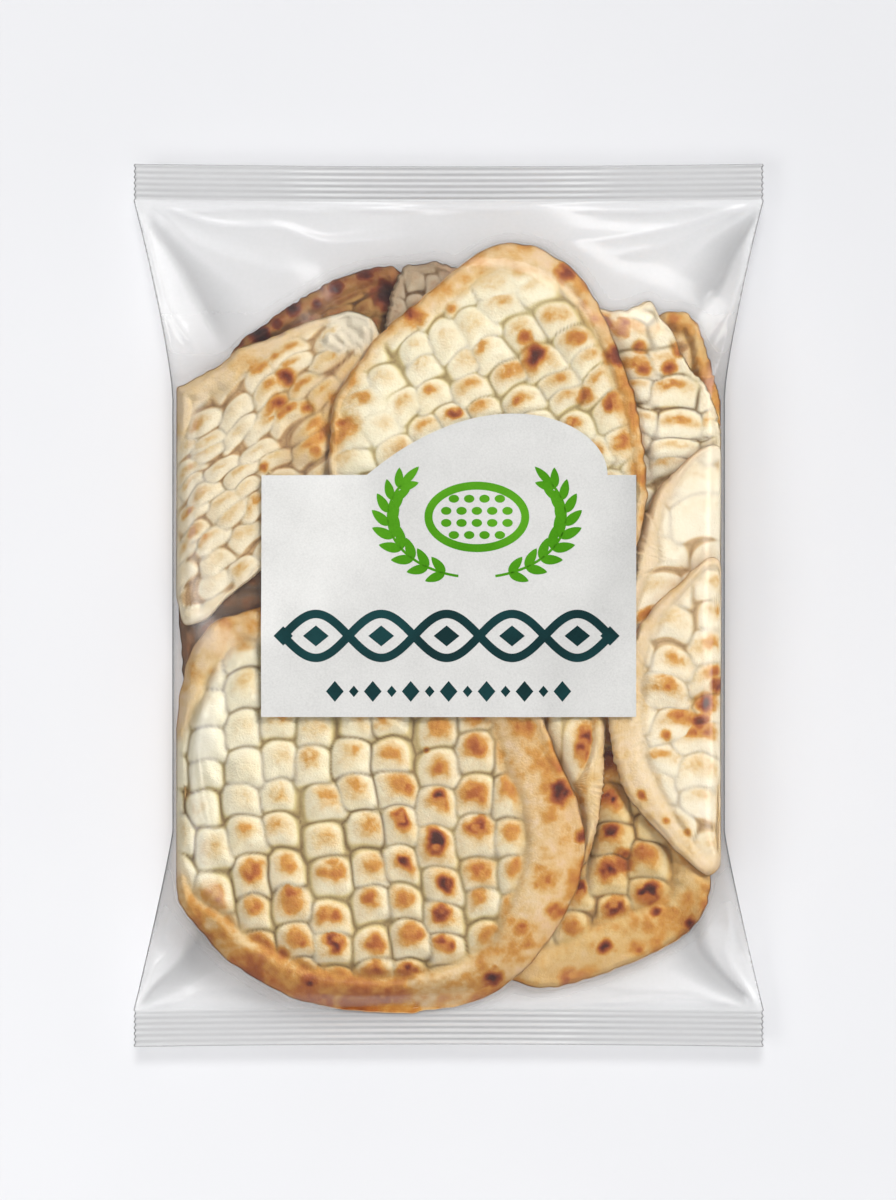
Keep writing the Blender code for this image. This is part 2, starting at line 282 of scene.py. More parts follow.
def linear(hex_colour):
    """An sRGB hex colour as linear RGBA."""
    channels = [int(hex_colour[place : place + 2], 16) / 255 for place in (1, 3, 5)]
    return (*[c / 12.92 if c <= 0.04045 else ((c + 0.055) / 1.055) ** 2.4 for c in channels], 1.0)


def add_node(material, kind, values=None, links=None, **settings):
    """Adds a node with its settings, its sockets' values and what is linked into them."""
    node = material.node_tree.nodes.new(kind)
    for name, setting in settings.items():
        setattr(node, name, setting)
    for socket, value in (values or {}).items():
        node.inputs[socket].default_value = value
    for socket, source in (links or {}).items():
        material.node_tree.links.new(source, node.inputs[socket])
    return node


def new_material(name):
    """An empty node material, with its output node."""
    material = bpy.data.materials.new(name)
    material.use_nodes = True
    material.node_tree.nodes.clear()
    return material, add_node(material, "ShaderNodeOutputMaterial")


def clear_film():
    """Cast polypropylene film: clear and glossy, a little grey by its two layers, whiter where it is welded."""
    material, output = new_material("clear_cast_polypropylene")
    place = add_node(material, "ShaderNodeTexCoord").outputs["Object"]
    weld, milk, hollow_shade = (add_node(material, "ShaderNodeAttribute", attribute_name=name).outputs["Fac"]
                          for name in ("weld", "milk", "hollow_shade"))

    # Soft ripples 12 mm wide, and 2 mm scuffs where the film was handled
    ripples = add_node(material, "ShaderNodeTexNoise", {"Scale": 80.0, "Detail": 2.0}, {"Vector": place})
    scuffs = add_node(material, "ShaderNodeTexNoise", {"Scale": 500.0, "Detail": 4.0}, {"Vector": place})
    bump = add_node(material, "ShaderNodeBump", {"Strength": 0.25, "Distance": 0.0012},
                    {"Height": ripples.outputs["Fac"]})
    # Film laid double in the seals is greyer, and the hollows of the folds get the same grey as painted shade
    welded = add_node(material, "ShaderNodeMath", {1: 0.6}, {0: weld}, operation="MULTIPLY")
    weld_and_shade = add_node(material, "ShaderNodeMath", links={0: welded.outputs[0], 1: hollow_shade}, operation="MAXIMUM")
    tint = add_node(material, "ShaderNodeMix", {"A": linear("#fefefe"), "B": linear("#dedede")},
                    {"Factor": weld_and_shade.outputs[0]}, data_type="RGBA")
    clear = add_node(material, "ShaderNodeBsdfTransparent", links={"Color": tint.outputs["Result"]})
    haze_tone = add_node(material, "ShaderNodeMix", {"A": linear("#f2f2f2"), "B": linear("#d4d4d4")},
                         {"Factor": weld_and_shade.outputs[0]}, data_type="RGBA")
    haze = add_node(material, "ShaderNodeBsdfDiffuse", links={"Color": haze_tone.outputs["Result"]})
    scuffed = add_node(material, "ShaderNodeMath", {1: 0.02}, {0: scuffs.outputs["Fac"], 2: milk},
                       operation="MULTIPLY_ADD")
    haze_share = add_node(material, "ShaderNodeMath", {1: 0.45}, {0: weld, 2: scuffed.outputs[0]},
                          operation="MULTIPLY_ADD")
    hazy = add_node(material, "ShaderNodeMixShader",
                    links={0: haze_share.outputs[0], 1: clear.outputs[0], 2: haze.outputs[0]})
    gloss = add_node(material, "ShaderNodeBsdfGlossy", {"Color": linear("#ffffff"), "Roughness": 0.16},
                     {"Normal": bump.outputs["Normal"]})
    # A film's two faces mirror 8% head on, alike from inside and outside, and all at a grazing angle
    slant = add_node(material, "ShaderNodeLayerWeight", {"Blend": 0.5}, {"Normal": bump.outputs["Normal"]})
    grazing = add_node(material, "ShaderNodeMath", {1: 5.0}, {0: slant.outputs["Facing"]}, operation="POWER")
    mirror = add_node(material, "ShaderNodeMath", {1: 0.92, 2: 0.08}, {0: grazing.outputs[0]},
                      operation="MULTIPLY_ADD")
    surface = add_node(material, "ShaderNodeMixShader",
                       links={0: mirror.outputs[0], 1: hazy.outputs[0], 2: gloss.outputs[0]})
    material.node_tree.links.new(surface.outputs[0], output.inputs["Surface"])
    return material


film_x, film_y, film_front, film_back, film_marks, film_loose = film_points()
film = film_sheet("film", film_x, film_y, film_front, milk=FRONT_MILKINESS * film_loose, **film_marks)
back_sheet = film_sheet("film_back", film_x, film_y, film_back, milk=BACK_MILKINESS * film_loose, **film_marks)
bpy.ops.object.mode_set(mode="EDIT")
bpy.ops.mesh.select_all(action="SELECT")
bpy.ops.mesh.flip_normals()
bpy.ops.object.mode_set(mode="OBJECT")
film.select_set(True)
bpy.context.view_layer.objects.active = film
bpy.ops.object.join()
bpy.ops.object.mode_set(mode="EDIT")
bpy.ops.mesh.select_all(action="SELECT")
bpy.ops.mesh.remove_doubles(threshold=1e-6)
bpy.ops.object.mode_set(mode="OBJECT")
bpy.ops.object.shade_smooth()
film.data.materials.append(clear_film())
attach(film, "root")
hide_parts("sealed_bag")
film_shape = bmesh.new()
film_shape.from_mesh(film.data)
film_tree = BVHTree.FromBMesh(film_shape)
film_shape.free()

# The breads
# Saj bread is a flat oval of leavened dough. Rows of fingertips are pressed into it, which leaves
# pillows with grooves between them and a plain rim, and it is baked on a hot iron dome until the
# pillows' tops toast. The breads lie shingled on each other and bend over what is under them.
BREAD_THICKNESS_MM = 7.8
RIM_BULGE_MM = 4.4
EDGE_ROUNDING_MM = 5.5
UNDERSIDE_ROUNDING_MM = 3.5
FILM_CLEARANCE_MM = 1.0
DRAPE_PASSES = 60
SOFTENING_PASSES = 5
BASE_LAYERS = 5
PILLOW_ROUNDNESS = 2.2
SIDE_WALL_MM = float(seam_half.min()) - 2.2
GRID_MM = 1.5
GRID_HALF_WIDTH_MM = 147.0
GRID_HALF_LENGTH_MM = 207.0


def read_grid(field, x_mm, y_mm):
    """A field's values at any points, read between the grid's own points."""
    rows, columns = field.shape
    across = np.clip((x_mm + GRID_HALF_WIDTH_MM) / GRID_MM, 0, columns - 1.001)
    along = np.clip((y_mm + GRID_HALF_LENGTH_MM) / GRID_MM, 0, rows - 1.001)
    column, row = across.astype(int), along.astype(int)
    right, up = across - column, along - row
    low = field[row, column] * (1 - right) + field[row, column + 1] * right
    high = field[row + 1, column] * (1 - right) + field[row + 1, column + 1] * right
    return low * (1 - up) + high * up


# The room between the films on an even grid
columns_mm = np.arange(-GRID_HALF_WIDTH_MM, GRID_HALF_WIDTH_MM + 0.1, GRID_MM)
rows_mm = np.arange(-GRID_HALF_LENGTH_MM, GRID_HALF_LENGTH_MM + 0.1, GRID_MM)
grid_x, grid_y = np.meshgrid(columns_mm, rows_mm)
front_mm = heights(film_tree, grid_x, grid_y, True)
back_mm = heights(film_tree, grid_x, grid_y, False)


def outline_radii(bread, angles):
    """Distance in mm from the bread's middle to its edge, in these directions."""
    middle = np.array(bread["middle"], float)
    corners = np.array(bread["outline"], float) - middle
    even = np.linspace(-math.pi, math.pi, 720, endpoint=False)
    way = np.stack([np.cos(even), np.sin(even)])
    radii = np.zeros(even.size)
    for start, end in zip(corners, np.roll(corners, -1, axis=0)):
        run = end - start
        slant = way[0] * run[1] - way[1] * run[0]
        slant = np.where(np.abs(slant) < 1e-9, 1e-9, slant)
        distance = (start[0] * run[1] - start[1] * run[0]) / slant
        share = (start[0] * way[1] - start[1] * way[0]) / slant
        hit = (share >= -1e-6) & (share <= 1 + 1e-6) & (distance > 0)
        radii = np.where(hit, np.maximum(radii, distance), radii)
    for _ in range(bread.get("roundness", 60)):
        radii = (np.roll(radii, 1) + 2 * radii + np.roll(radii, -1)) / 4
    ragged = bread.get("ragged", 0.7)
    radii = radii + ragged * (2 * lumps(130 * way[0], 130 * way[1], 7.0, bread["seed"]) - 1)
    wall = SIDE_WALL_MM - np.sign(way[0]) * middle[0]
    radii = np.minimum(radii, wall / np.maximum(np.abs(way[0]), 1e-3))
    return np.interp(angles, even, radii, period=2 * math.pi)


def inside_bread(bread, x, y):
    """How far each point lies from the middle to the edge, 0 to 1, and its depth behind the edge."""
    across, along = x - bread["middle"][0], y - bread["middle"][1]
    radii = outline_radii(bread, np.arctan2(along, across))
    reach = np.hypot(across, along) / radii
    return reach, (1 - reach) * radii


def rim_width(bread, x, y):
    """Width in mm of the plain rim, which changes from side to side."""
    angles = np.degrees(np.arctan2(y - bread["middle"][1], x - bread["middle"][0]))
    places, widths = zip(*bread["rim"])
    return np.interp(angles, places, widths, period=360)


def thickness(bread, x, y, depth):
    """The bread's thickness in mm before its pillows: a plate with a raised rim and a round edge."""
    width = rim_width(bread, x, y)
    share = np.clip(depth / width, 0, 1)
    bulge = RIM_BULGE_MM * np.minimum(width / 20, 1) * np.sin(math.pi * share) ** 1.3
    inward = np.clip(depth / EDGE_ROUNDING_MM, 0, 1)
    crust = np.sqrt(1 - (1 - inward) ** 2)
    plate = bread.get("plate", 1.0) * BREAD_THICKNESS_MM
    return (plate + bulge) * crust


def finger_pillows(bread, x, y):
    """The domes that stand between the finger marks: each point belongs to the one that is highest there.

    Gives its height, 1 on top and 0 where two alike meet, how far the next one lies below it, the place
    in it across and along, from -1 to 1, and its own random numbers.
    """
    angle = math.radians(bread["turn"])
    across = (x - bread["middle"][0]) * math.cos(angle) + (y - bread["middle"][1]) * math.sin(angle)
    along = (y - bread["middle"][1]) * math.cos(angle) - (x - bread["middle"][0]) * math.sin(angle)
    across = across + bread.get("bow", 0.0) * along * along
    warp = bread.get("warp", 5.0)
    across = across + warp * (lumps(x, y, 38.0, bread["seed"] + 1) - 0.5)
    along = along + 1.2 * warp * (lumps(x, y, 30.0, bread["seed"] + 2) - 0.5)
    across = across + 1.6 * (lumps(x, y, 9.0, bread["seed"] + 4) - 0.5)
    along = along + 1.6 * (lumps(x, y, 9.0, bread["seed"] + 5) - 0.5)
    chance = np.random.default_rng(bread["seed"] + 3)
    pitch_across, pitch_along = bread["pitch"]
    scaled, scaled_along = across / pitch_across, along / pitch_along
    column_shift = bread.get("shift", 1.0) * chance.random(64)
    off_across, off_along = bread.get("jitter", 0.12) * chance.uniform(-1, 1, (2, 64, 64))
    numbers = chance.random((6, 64, 64))
    weight_across, weight_along = bread.get("press", (1.0, 1.0))
    best, second = np.full(x.shape, -9.0), np.full(x.shape, -9.0)
    side, height = np.zeros_like(x), np.zeros_like(x)
    own = np.zeros((6, *x.shape))
    for step in (-1, 0, 1):
        column = np.floor(scaled).astype(int) + step
        shifted = scaled_along + column_shift[column % 64]
        for climb in (-1, 0, 1):
            row = np.floor(shifted).astype(int) + climb
            key = column % 64, row % 64
            to_side = 2 * (scaled - column - 0.5 - off_across[key])
            to_top = 2 * (shifted - row - 0.5 - off_along[key]) + bread.get("arch", 0.3) * to_side**2
            spread = (weight_across * np.abs(to_side)) ** 4 + (weight_along * np.abs(to_top)) ** 4
            level = 1 + 0.5 * (numbers[5][key] - 0.5) - spread ** (PILLOW_ROUNDNESS / 4)
            higher = level > best
            second = np.where(higher, best, np.maximum(second, level))
            best = np.where(higher, level, best)
            side, height = np.where(higher, to_side, side), np.where(higher, to_top, height)
            own = np.where(higher, numbers[:, key[0], key[1]], own)
    return best, best - second, side, height, own


def bread_detail(bread, x, y, depth):
    """What fingers and heat did to each point: its sinking in mm and its marks by name."""
    width = rim_width(bread, x, y)
    plate = smooth_step((depth - width + 3.0) / 7.0)
    fade = np.ones_like(x)
    for middle_x, middle_y, radius in bread.get("smooth", ()):
        fade = np.minimum(fade, smooth_step(np.hypot(x - middle_x, y - middle_y) / radius - 0.5))
    pressed = plate * (0.15 + 0.85 * fade)
    level, gap, side, height, own = finger_pillows(bread, x, y)
    pillow = np.clip(level, -0.5, 1.2)
    sinking = bread["groove"] * (1 - pillow) * pressed
    # Painted shade: a thin dark line is drawn along each crease between the pillows
    crease_shade = np.exp(-((gap / 0.45) ** 2)) * smooth_step((1 - pillow) / 1.1)
    # Painted shade: this mark falls from 1 on the pillows' tops towards the grooves between them, and lower still in
    # the rim's groove
    pillow_shading = 1 - 0.85 * pressed * smooth_step((0.22 - pillow) / 0.6)
    rim_groove = np.exp(-(((depth - width) / 3.0) ** 2)) * smooth_step((width - 3.0) / 5.0)
    patchy = 0.2 + 0.8 * lumps(x, y, 30.0, bread["seed"] + 6)
    sinking = sinking + bread.get("rim_groove", 1.2) * rim_groove * patchy
    pillow_shading = pillow_shading * (1 - 0.3 * rim_groove * patchy)
    # Painted shadow: places where a bread above shades this one are drawn as darker dough
    for middle_x, middle_y, radius, amount in bread.get("shadowed_places", ()):
        pillow_shading = pillow_shading * (1 - amount * np.exp(-((x - middle_x) ** 2 + (y - middle_y) ** 2) / radius**2))
    sinking = sinking + (1 - plate) * 1.8 * lumps(x, y, 13.0, bread["seed"] + 7)
    sinking = sinking + 0.5 * lumps(x, y, 4.5, bread["seed"] + 8)

    # Each pillow toasts over its upper part: a golden halo, and brown flecks where it touched the iron
    noise = lumps(x, y, 2.6, bread["seed"] + 9) - 0.5
    rough = lumps(x, y, 6.0, bread["seed"] + 10) - 0.5
    flecks = smooth_step((lumps(x, y, 3.3, bread["seed"] + 17) + 0.3 * noise - 0.3) / 0.4)
    stretch_side, stretch_up, lie = bread.get("spot", (1.0, 1.0, 0.25))
    spot_x = stretch_side * (side - 0.45 * (own[1] - 0.5))
    spot_y = stretch_up * (height - lie - 0.4 * (own[2] - 0.5))
    away = np.hypot(spot_x, spot_y) / (0.8 + 0.35 * own[3]) + 0.2 * noise + 0.5 * rough
    hot = np.zeros_like(x)
    for middle_x, middle_y, radius, amount in bread.get("hot", ()):
        hot = hot + amount * np.exp(-(((x - middle_x) ** 2 + (y - middle_y) ** 2) / radius**2))
    heat = np.maximum(bread["toast"] * (0.35 + 0.9 * lumps(x, y, 46.0, bread["seed"] + 11)) + hot, 0)
    strength = 0.25 + 0.75 * own[4] ** 3
    halo = smooth_step((1.3 - away) / 1.05)
    core = smooth_step((0.8 - away) / 0.6) * (0.15 + 0.85 * flecks)
    gold = 0.3 * np.minimum(heat, 1.0) * halo
    toast = plate * (gold + 0.5 * heat * strength * core) * np.clip(0.4 + 0.6 * pillow, 0, 1)
    toast = toast + 0.09 * heat * plate

    # The rim toasts in soft patches, more towards its edge
    mottle = 0.4 * lumps(x, y, 17.0, bread["seed"] + 12) + 0.3 * lumps(x, y, 8.0, bread["seed"] + 18)
    mottle = mottle + 0.3 * lumps(x, y, 4.0, bread["seed"] + 19)
    rim_share = (1 - smooth_step((depth - width + 3.0) / 9.0)) * smooth_step(width / 6.0)
    rim_heat = bread.get("rim_toast", 0.5) + 0.5 * hot
    outer = 1 - np.clip(depth / width, 0, 1)
    blotch = 0.19 + (0.2 + 0.2 * outer) * smooth_step((mottle - 0.25) / 0.6) + 0.1 * noise + 0.08 * rough
    toast = toast + rim_heat * rim_share * blotch
    for middle_x, middle_y, radius, amount in bread.get("burns", ()):
        away = np.hypot(x - middle_x, y - middle_y) / radius + 0.4 * noise + 0.4 * rough
        toast = np.maximum(toast, amount * (0.8 + 0.3 * flecks) * np.exp(-0.9 * np.maximum(away, 0) ** 2))
    # Painted shade: the creases, and the rim's groove, become thin dark lines
    groove_shade = crease_shade * (0.5 + 0.5 * own[0]) * bread.get("crease_shade", 1.0)
    groove_shade = np.maximum(groove_shade * plate * (0.2 + 0.8 * fade), 0.15 * rim_groove * patchy)
    torn = np.zeros_like(x)
    for middle_x, middle_y, radius in bread.get("torn", ()):
        away = np.hypot(x - middle_x, y - middle_y) / radius
        torn = np.maximum(torn, smooth_step((1.25 - away + 0.8 * noise + 0.6 * rough) / 0.5))
    crumbs = lumps(x, y, 3.0, bread["seed"] + 15) * (0.4 + lumps(x, y, 6.0, bread["seed"] + 16))
    sinking = sinking * (1 - torn) + torn * (2.2 - 5.0 * crumbs)
    whole = 1 - torn
    rosy = rim_share * (0.4 + 0.6 * outer)
    marks = {"toast": np.clip(toast, 0, 1.2) * whole, "groove_shade": groove_shade * whole, "rim": rosy * whole,
             "torn": torn, "pillow_shading": pillow_shading * whole + torn}
    return sinking, marks


# Under the breads that show lie two stacks of others, whose edges show from the side
BASE_OUTLINES = {
    "lower": ((0, -92), [(131, -6), (133, -60), (130, -115), (118, -146), (92, -168), (50, -182), (0, -187),
                         (-48, -189), (-88, -177), (-112, -158), (-130, -128), (-133, -60), (-129, -8), (0, -3)]),
    "upper": ((0, 72), [(131, 60), (123, 100), (103, 134), (70, 138), (40, 164), (10, 158), (-25, 158),
                        (-60, 148), (-95, 128), (-120, 106), (-133, 60), (-130, 6), (0, 1), (130, 6)]),
}
BASE_BREADS = []
for layer in range(BASE_LAYERS):
    for half, (middle, outline) in BASE_OUTLINES.items():
        size = 1.0 - 0.035 * ((layer + (half == "upper")) % 2)
        BASE_BREADS.append({
            "name": f"bread_{half}_base_{layer + 1}", "seed": 40 + 20 * layer + (half == "upper") * 10,
            "middle": middle, "detail": (24, 4),
            "outline": [(middle[0] + size * (x - middle[0]), middle[1] + size * (y - middle[1])) for x, y in outline],
            "rim": [(-180, 18), (0, 18)], "turn": 25 * layer, "pitch": (18, 17), "groove": 1.6,
            "toast": 0.6, "rim_toast": 0.9, "hue": ("tan", "gold", "brown")[layer % 3],
        })

# Each bread that shows, from the lowest up. Places and sizes are in mm. outline is its edge, rim
# the width of its plain rim by direction in degrees, turn the lie of its finger rows, pitch their
# spacing across and along, groove their depth, press how square they are, arch how far their rows
# bow, jitter how uneven they lie and spot where on each the toast sits. hot is a place whose pillows
# toasted more, with its radius and strength, and burns are single spots alike. shadowed_places are
# painted shadow where a bread above shades this one, drawn as darker dough and given alike,
# crease_shade is how strong the painted shade in its creases is, and smooth is a place where the
# fingers did not press.
BREADS = [
    {
        "name": "bread_base_left", "seed": 14, "middle": (-70, -5), "detail": (30, 6),
        "outline": [(0, -5), (-20, 60), (-80, 85), (-126, 60), (-135, 0), (-132, -50),
                    (-100, -85), (-40, -70)],
        "rim": [(-180, 6), (0, 6)], "turn": 0, "pitch": (18, 16), "groove": 1.6, "jitter": 0.3,
        # Its dough colours are painted shadow, as it shows only deep in the gap between the left and the front bread
        "toast": 0.9, "hue": "shadow",
    },
    {
        "name": "bread_back_left", "seed": 21, "middle": (-55, 115), "detail": (38, 12),
        "outline": [(-10, 115), (-8, 152), (-27, 171), (-40, 170), (-60, 163), (-76, 153), (-93, 141),
                    (-103, 134), (-110, 125), (-112, 105), (-90, 80), (-50, 68), (-18, 85)],
        "rim": [(-180, 9), (90, 11), (180, 9)], "turn": 25, "pitch": (17, 11), "groove": 1.8, "jitter": 0.32,
        "toast": 0.7, "rim_toast": 0.8, "hue": "burnt", "rim_groove": 3.0, "roundness": 30, "warp": 9.0,
        "burns": [(-95, 137, 5, 0.9), (-78, 150, 4, 0.8), (-42, 167, 4, 0.8), (-31, 157, 8, 0.75),
                  (-57, 160, 4, 0.8), (-86, 142, 3, 0.7), (-66, 152, 3, 0.6)],
    },
    {
        "name": "bread_back_middle", "seed": 22, "middle": (-8, 142), "detail": (28, 5),
        "outline": [(20, 142), (8, 168), (-6, 173), (-22, 171), (-28, 160), (-32, 140), (-20, 112), (6, 115)],
        "rim": [(-180, 3), (90, 4), (180, 3)], "turn": 15, "pitch": (12, 14), "groove": 1.8, "jitter": 0.35,
        "toast": 0.35, "hue": "grey", "roundness": 25, "warp": 8.0,
    },
    {
        "name": "bread_back_right", "seed": 23, "middle": (112, 110), "detail": (30, 6),
        "outline": [(137, 102), (132, 119), (128, 133), (125, 142), (119, 148), (108, 148), (96, 142), (86, 110),
                    (95, 75), (120, 68), (136, 84)],
        "rim": [(-180, 11), (90, 11), (180, 11)], "turn": 5, "pitch": (26, 13), "groove": 1.4,
        "toast": 0.7, "rim_toast": 1.0, "hue": "tan", "roundness": 20, "jitter": 0.3,
    },
    {
        "name": "bread_low_right", "seed": 24, "middle": (72, -112), "detail": (44, 14),
        "outline": [(128, -112), (118, -70), (80, -45), (38, -60), (20, -110), (22, -160), (27, -186),
                    (49, -192), (72, -186), (98, -176), (117, -166), (127, -155), (132, -140)],
        "rim": [(-180, 16), (-115, 21), (-90, 26), (-50, 22), (0, 18), (90, 18), (180, 16)],
        "turn": 0, "pitch": (20, 18), "groove": 2.8, "toast": 1.3, "rim_toast": 0.9, "jitter": 0.16,
        # The hot place at 77, -82 is painted shadow in the gap under the breads that lie over this one
        "hot": [(82, -120, 26, 0.6), (84, -133, 12, 0.4), (77, -82, 16, 2.2)], "hue": "gold",
        "burns": [(78, -170, 4, 1.0), (104, -152, 3, 0.8), (95, -171, 6, 0.55), (121, -158, 4, 0.9),
                  (59, -186, 6, 0.6), (86, -127, 7, 0.8)],
    },
    {
        "name": "bread_top_right", "seed": 25, "middle": (102, 88), "detail": (44, 14),
        "outline": [(136, 88), (133, 101), (128, 112), (121, 118), (116, 127), (112, 138), (105, 146), (102, 154),
                    (98, 153), (90, 149), (80, 148), (70, 151), (58, 130), (55, 88), (70, 40), (100, 15),
                    (132, 30), (137, 60)],
        "rim": [(-180, 2), (0, 3), (90, 3), (180, 2)], "turn": 6, "pitch": (21, 13.5), "groove": 1.9,
        "press": (0.8, 1.0), "arch": 0.4, "spot": (0.6, 1.5, 0.5), "jitter": 0.22, "warp": 8.0, "toast": 0.45,
        "rim_toast": 0.4, "hue": "straw", "roundness": 8, "rim_groove": 0.4,
        "hot": [(92, 132, 26, 0.6), (120, 100, 14, 0.4)],
        "burns": [(76, 143, 5, 0.8), (86, 139, 5, 0.6), (95, 130, 4, 0.65), (97, 119, 5, 0.65),
                  (110, 120, 4, 0.75), (114, 129, 4, 0.6)],
    },
    {
        "name": "bread_left", "seed": 26, "middle": (-88, 66), "detail": (46, 16),
        "outline": [(-40, 66), (-28, 100), (-32, 130), (-38, 145), (-50, 149), (-59, 146), (-74, 141),
                    (-90, 134), (-106, 129), (-112, 122), (-124, 116), (-137, 110), (-139, 60), (-138, 10),
                    (-132, -10), (-118, -5), (-112, 4), (-101, 12), (-93, 19), (-72, 22), (-50, 38)],
        "rim": [(-180, 1), (-90, 3), (60, 3), (115, 13), (140, 11), (165, 1), (180, 1)], "turn": 40,
        "pitch": (18, 9.5), "groove": 1.4, "press": (0.85, 1.0), "arch": 0.45, "jitter": 0.3, "warp": 10.0,
        "toast": 0.5, "spot": (0.8, 1.2, 0.3), "rim_toast": 0.45, "hue": "rose", "roundness": 10, "crease_shade": 0.7,
        # The hot place at -62, 88 is painted shadow where the top middle bread shades this bread
        "hot": [(-81, 113, 9, 1.0), (-84, 100, 8, 1.0), (-62, 88, 17, 0.8), (-96, 122, 12, 0.5), (-128, 40, 12, 0.4)],
        "rim_groove": 0.4, "torn": [(-47, 139, 11), (-55, 132, 7)],
        "burns": [(-81, 115, 5, 0.9), (-84, 102, 4.5, 0.8), (-97, 121, 5, 0.4), (-62, 88, 9, 0.45),
                  (-70, 100, 4, 0.6), (-66, 78, 4, 0.6), (-57, 104, 4, 0.45), (-92, 70, 3.5, 0.5)],
        # Painted shadow: these places lie where the top middle bread shades this bread's right half
        "shadowed_places": [(-60, 98, 17, 0.65), (-52, 122, 11, 0.5), (-76, 78, 12, 0.5)],
    },
    {
        "name": "bread_right_middle", "seed": 27, "middle": (116, 22), "detail": (42, 13),
        "outline": [(139, 22), (139, 55), (136, 84), (126, 80), (115, 70), (105, 61), (101, 53), (96, 42),
                    (90, 18), (86, -10), (98, -36), (120, -45), (138, -30)],
        "rim": [(-180, 13), (-70, 2), (70, 2), (100, 9), (180, 13)], "turn": 8, "pitch": (27, 19), "groove": 1.0,
        "press": (0.8, 1.0), "arch": 0.45, "spot": (0.6, 1.4, 0.5), "jitter": 0.25, "warp": 9.0, "crease_shade": 0.35,
        "toast": 0.35, "rim_toast": 0.3, "hue": "rose_pale", "rim_groove": 0.3,
        "hot": [(110, -8, 16, 0.5)],
    },
    {
        "name": "bread_folded_edge", "seed": 28, "middle": (58, -88), "detail": (34, 11),
        "outline": [(77, -88), (78, -55), (72, -30), (50, -25), (40, -60), (40, -110), (50, -130),
                    (65, -134), (71, -122), (75, -105)],
        "rim": [(-180, 12), (-90, 14), (0, 15), (90, 12)], "turn": 5, "pitch": (20, 34), "groove": 0.7,
        "toast": 0.7, "rim_toast": 0.5, "hue": "cream_warm", "rim_groove": 0.3, "crease_shade": 0.3,
        "hot": [(63, -62, 13, 1.1), (66, -92, 10, 0.8)],
        "burns": [(67, -60, 5, 0.55), (66, -78, 4, 0.35), (65, -96, 6, 0.35)],
    },
    {
        "name": "bread_top_middle", "seed": 29, "middle": (20, 78), "detail": (54, 19),
        "outline": [(97, 78), (93, 104), (84, 129), (75, 150), (67, 164), (55, 175), (40, 182), (27, 183),
                    (14, 177), (1, 167), (-11, 156), (-22, 147), (-36, 135), (-47, 119), (-58, 101), (-60, 66),
                    (-57, 36), (-39, 5), (-4, -21), (46, -26), (80, -6), (93, 28), (99, 55)],
        "rim": [(-180, 4), (-90, 8), (0, 6), (60, 9), (80, 14), (105, 12), (130, 5), (180, 4)], "rim_groove": 0.5,
        "turn": 30, "pitch": (18, 14), "groove": 2.0, "jitter": 0.2, "warp": 8.0, "press": (0.95, 1.0),
        "arch": 0.4, "spot": (0.9, 1.1, 0.35), "crease_shade": 0.6, "toast": 0.6, "rim_toast": 0.75,
        "hot": [(72, 142, 14, 0.7), (30, 100, 36, 0.35), (90, 104, 12, 0.5), (94, 70, 12, 0.6),
                (-50, 112, 10, 0.6), (-57, 84, 10, 0.7)], "hue": "cream",
        "smooth": [(-38, 96, 15), (34, 168, 18)],
        "burns": [(43, 125, 5.5, 0.9), (38, 135, 4, 0.75), (-18, 146, 6, 0.8), (59, 167, 6, 0.75),
                  (84, 126, 6, 0.85), (68, 105, 5, 0.55), (-50, 91, 7, 0.6), (2, 149, 4, 0.45)],
    },
    {
        "name": "bread_right_low", "seed": 30, "middle": (120, -52), "detail": (46, 15),
        "outline": [(140, -52), (140, 0), (136, 29), (127, 24), (115, 12), (105, 4), (96, -7), (86, -28),
                    (79, -53), (81, -72), (87, -91), (98, -106), (110, -118), (123, -130), (133, -137), (140, -120)],
        "rim": [(-180, 16), (-120, 18), (-85, 12), (-60, 1), (60, 1), (90, 7), (130, 10), (180, 16)],
        "turn": -4, "pitch": (21, 16), "groove": 2.0, "press": (0.85, 1.0), "jitter": 0.22, "warp": 8.0,
        "arch": 0.4, "spot": (0.7, 1.3, 0.4), "crease_shade": 0.55, "rim_groove": 1.2, "toast": 0.75, "rim_toast": 0.5,
        "hot": [(128, -48, 22, 0.7), (118, -40, 12, 0.5)], "hue": "rose_pale",
        "burns": [(128, -47, 5, 1.0), (125, -57, 4.5, 0.85), (134, -39, 4, 0.85), (108, -63, 3.5, 0.5),
                  (96, -93, 3.5, 0.6), (108, -106, 2.6, 0.5), (119, -112, 2.6, 0.45), (86, -73, 6, 0.25)],
    },
    {
        "name": "bread_front", "seed": 31, "middle": (-35, -100), "detail": (58, 21),
        "outline": [(68, -112), (64, -96), (54, -75), (45, -50), (26, -18), (-12, 8), (-50, 14), (-76, 8),
                    (-94, 0), (-104, -3), (-116, -5), (-127, -18), (-133, -36), (-137, -60), (-139, -100),
                    (-139, -130), (-135, -148), (-122, -165), (-109, -178), (-91, -190), (-70, -199), (-48, -203),
                    (-22, -204), (10, -200), (29, -190), (47, -172), (60, -150), (67, -131)],
        "rim": [(-180, 1), (-163, 3), (-148, 14), (-125, 18), (-90, 19), (-70, 21), (-50, 24), (-25, 30),
                (-8, 31), (10, 27), (35, 25), (90, 25), (148, 12), (163, 2), (180, 1)],
        "turn": 2, "pitch": (19.0, 18.5), "groove": 3.0, "shift": 0.45, "jitter": 0.15, "toast": 1.05,
        "rim_toast": 0.85, "rim_groove": 2.2,
        "hot": [(-10, -115, 42, 0.5), (20, -70, 25, 0.3), (-2, -128, 12, 0.3), (-118, -78, 40, -0.7),
                (-35, -200, 45, 0.6), (-100, -180, 25, 0.5), (64, -90, 30, 0.3)], "hue": "cream", "bow": -0.0006,
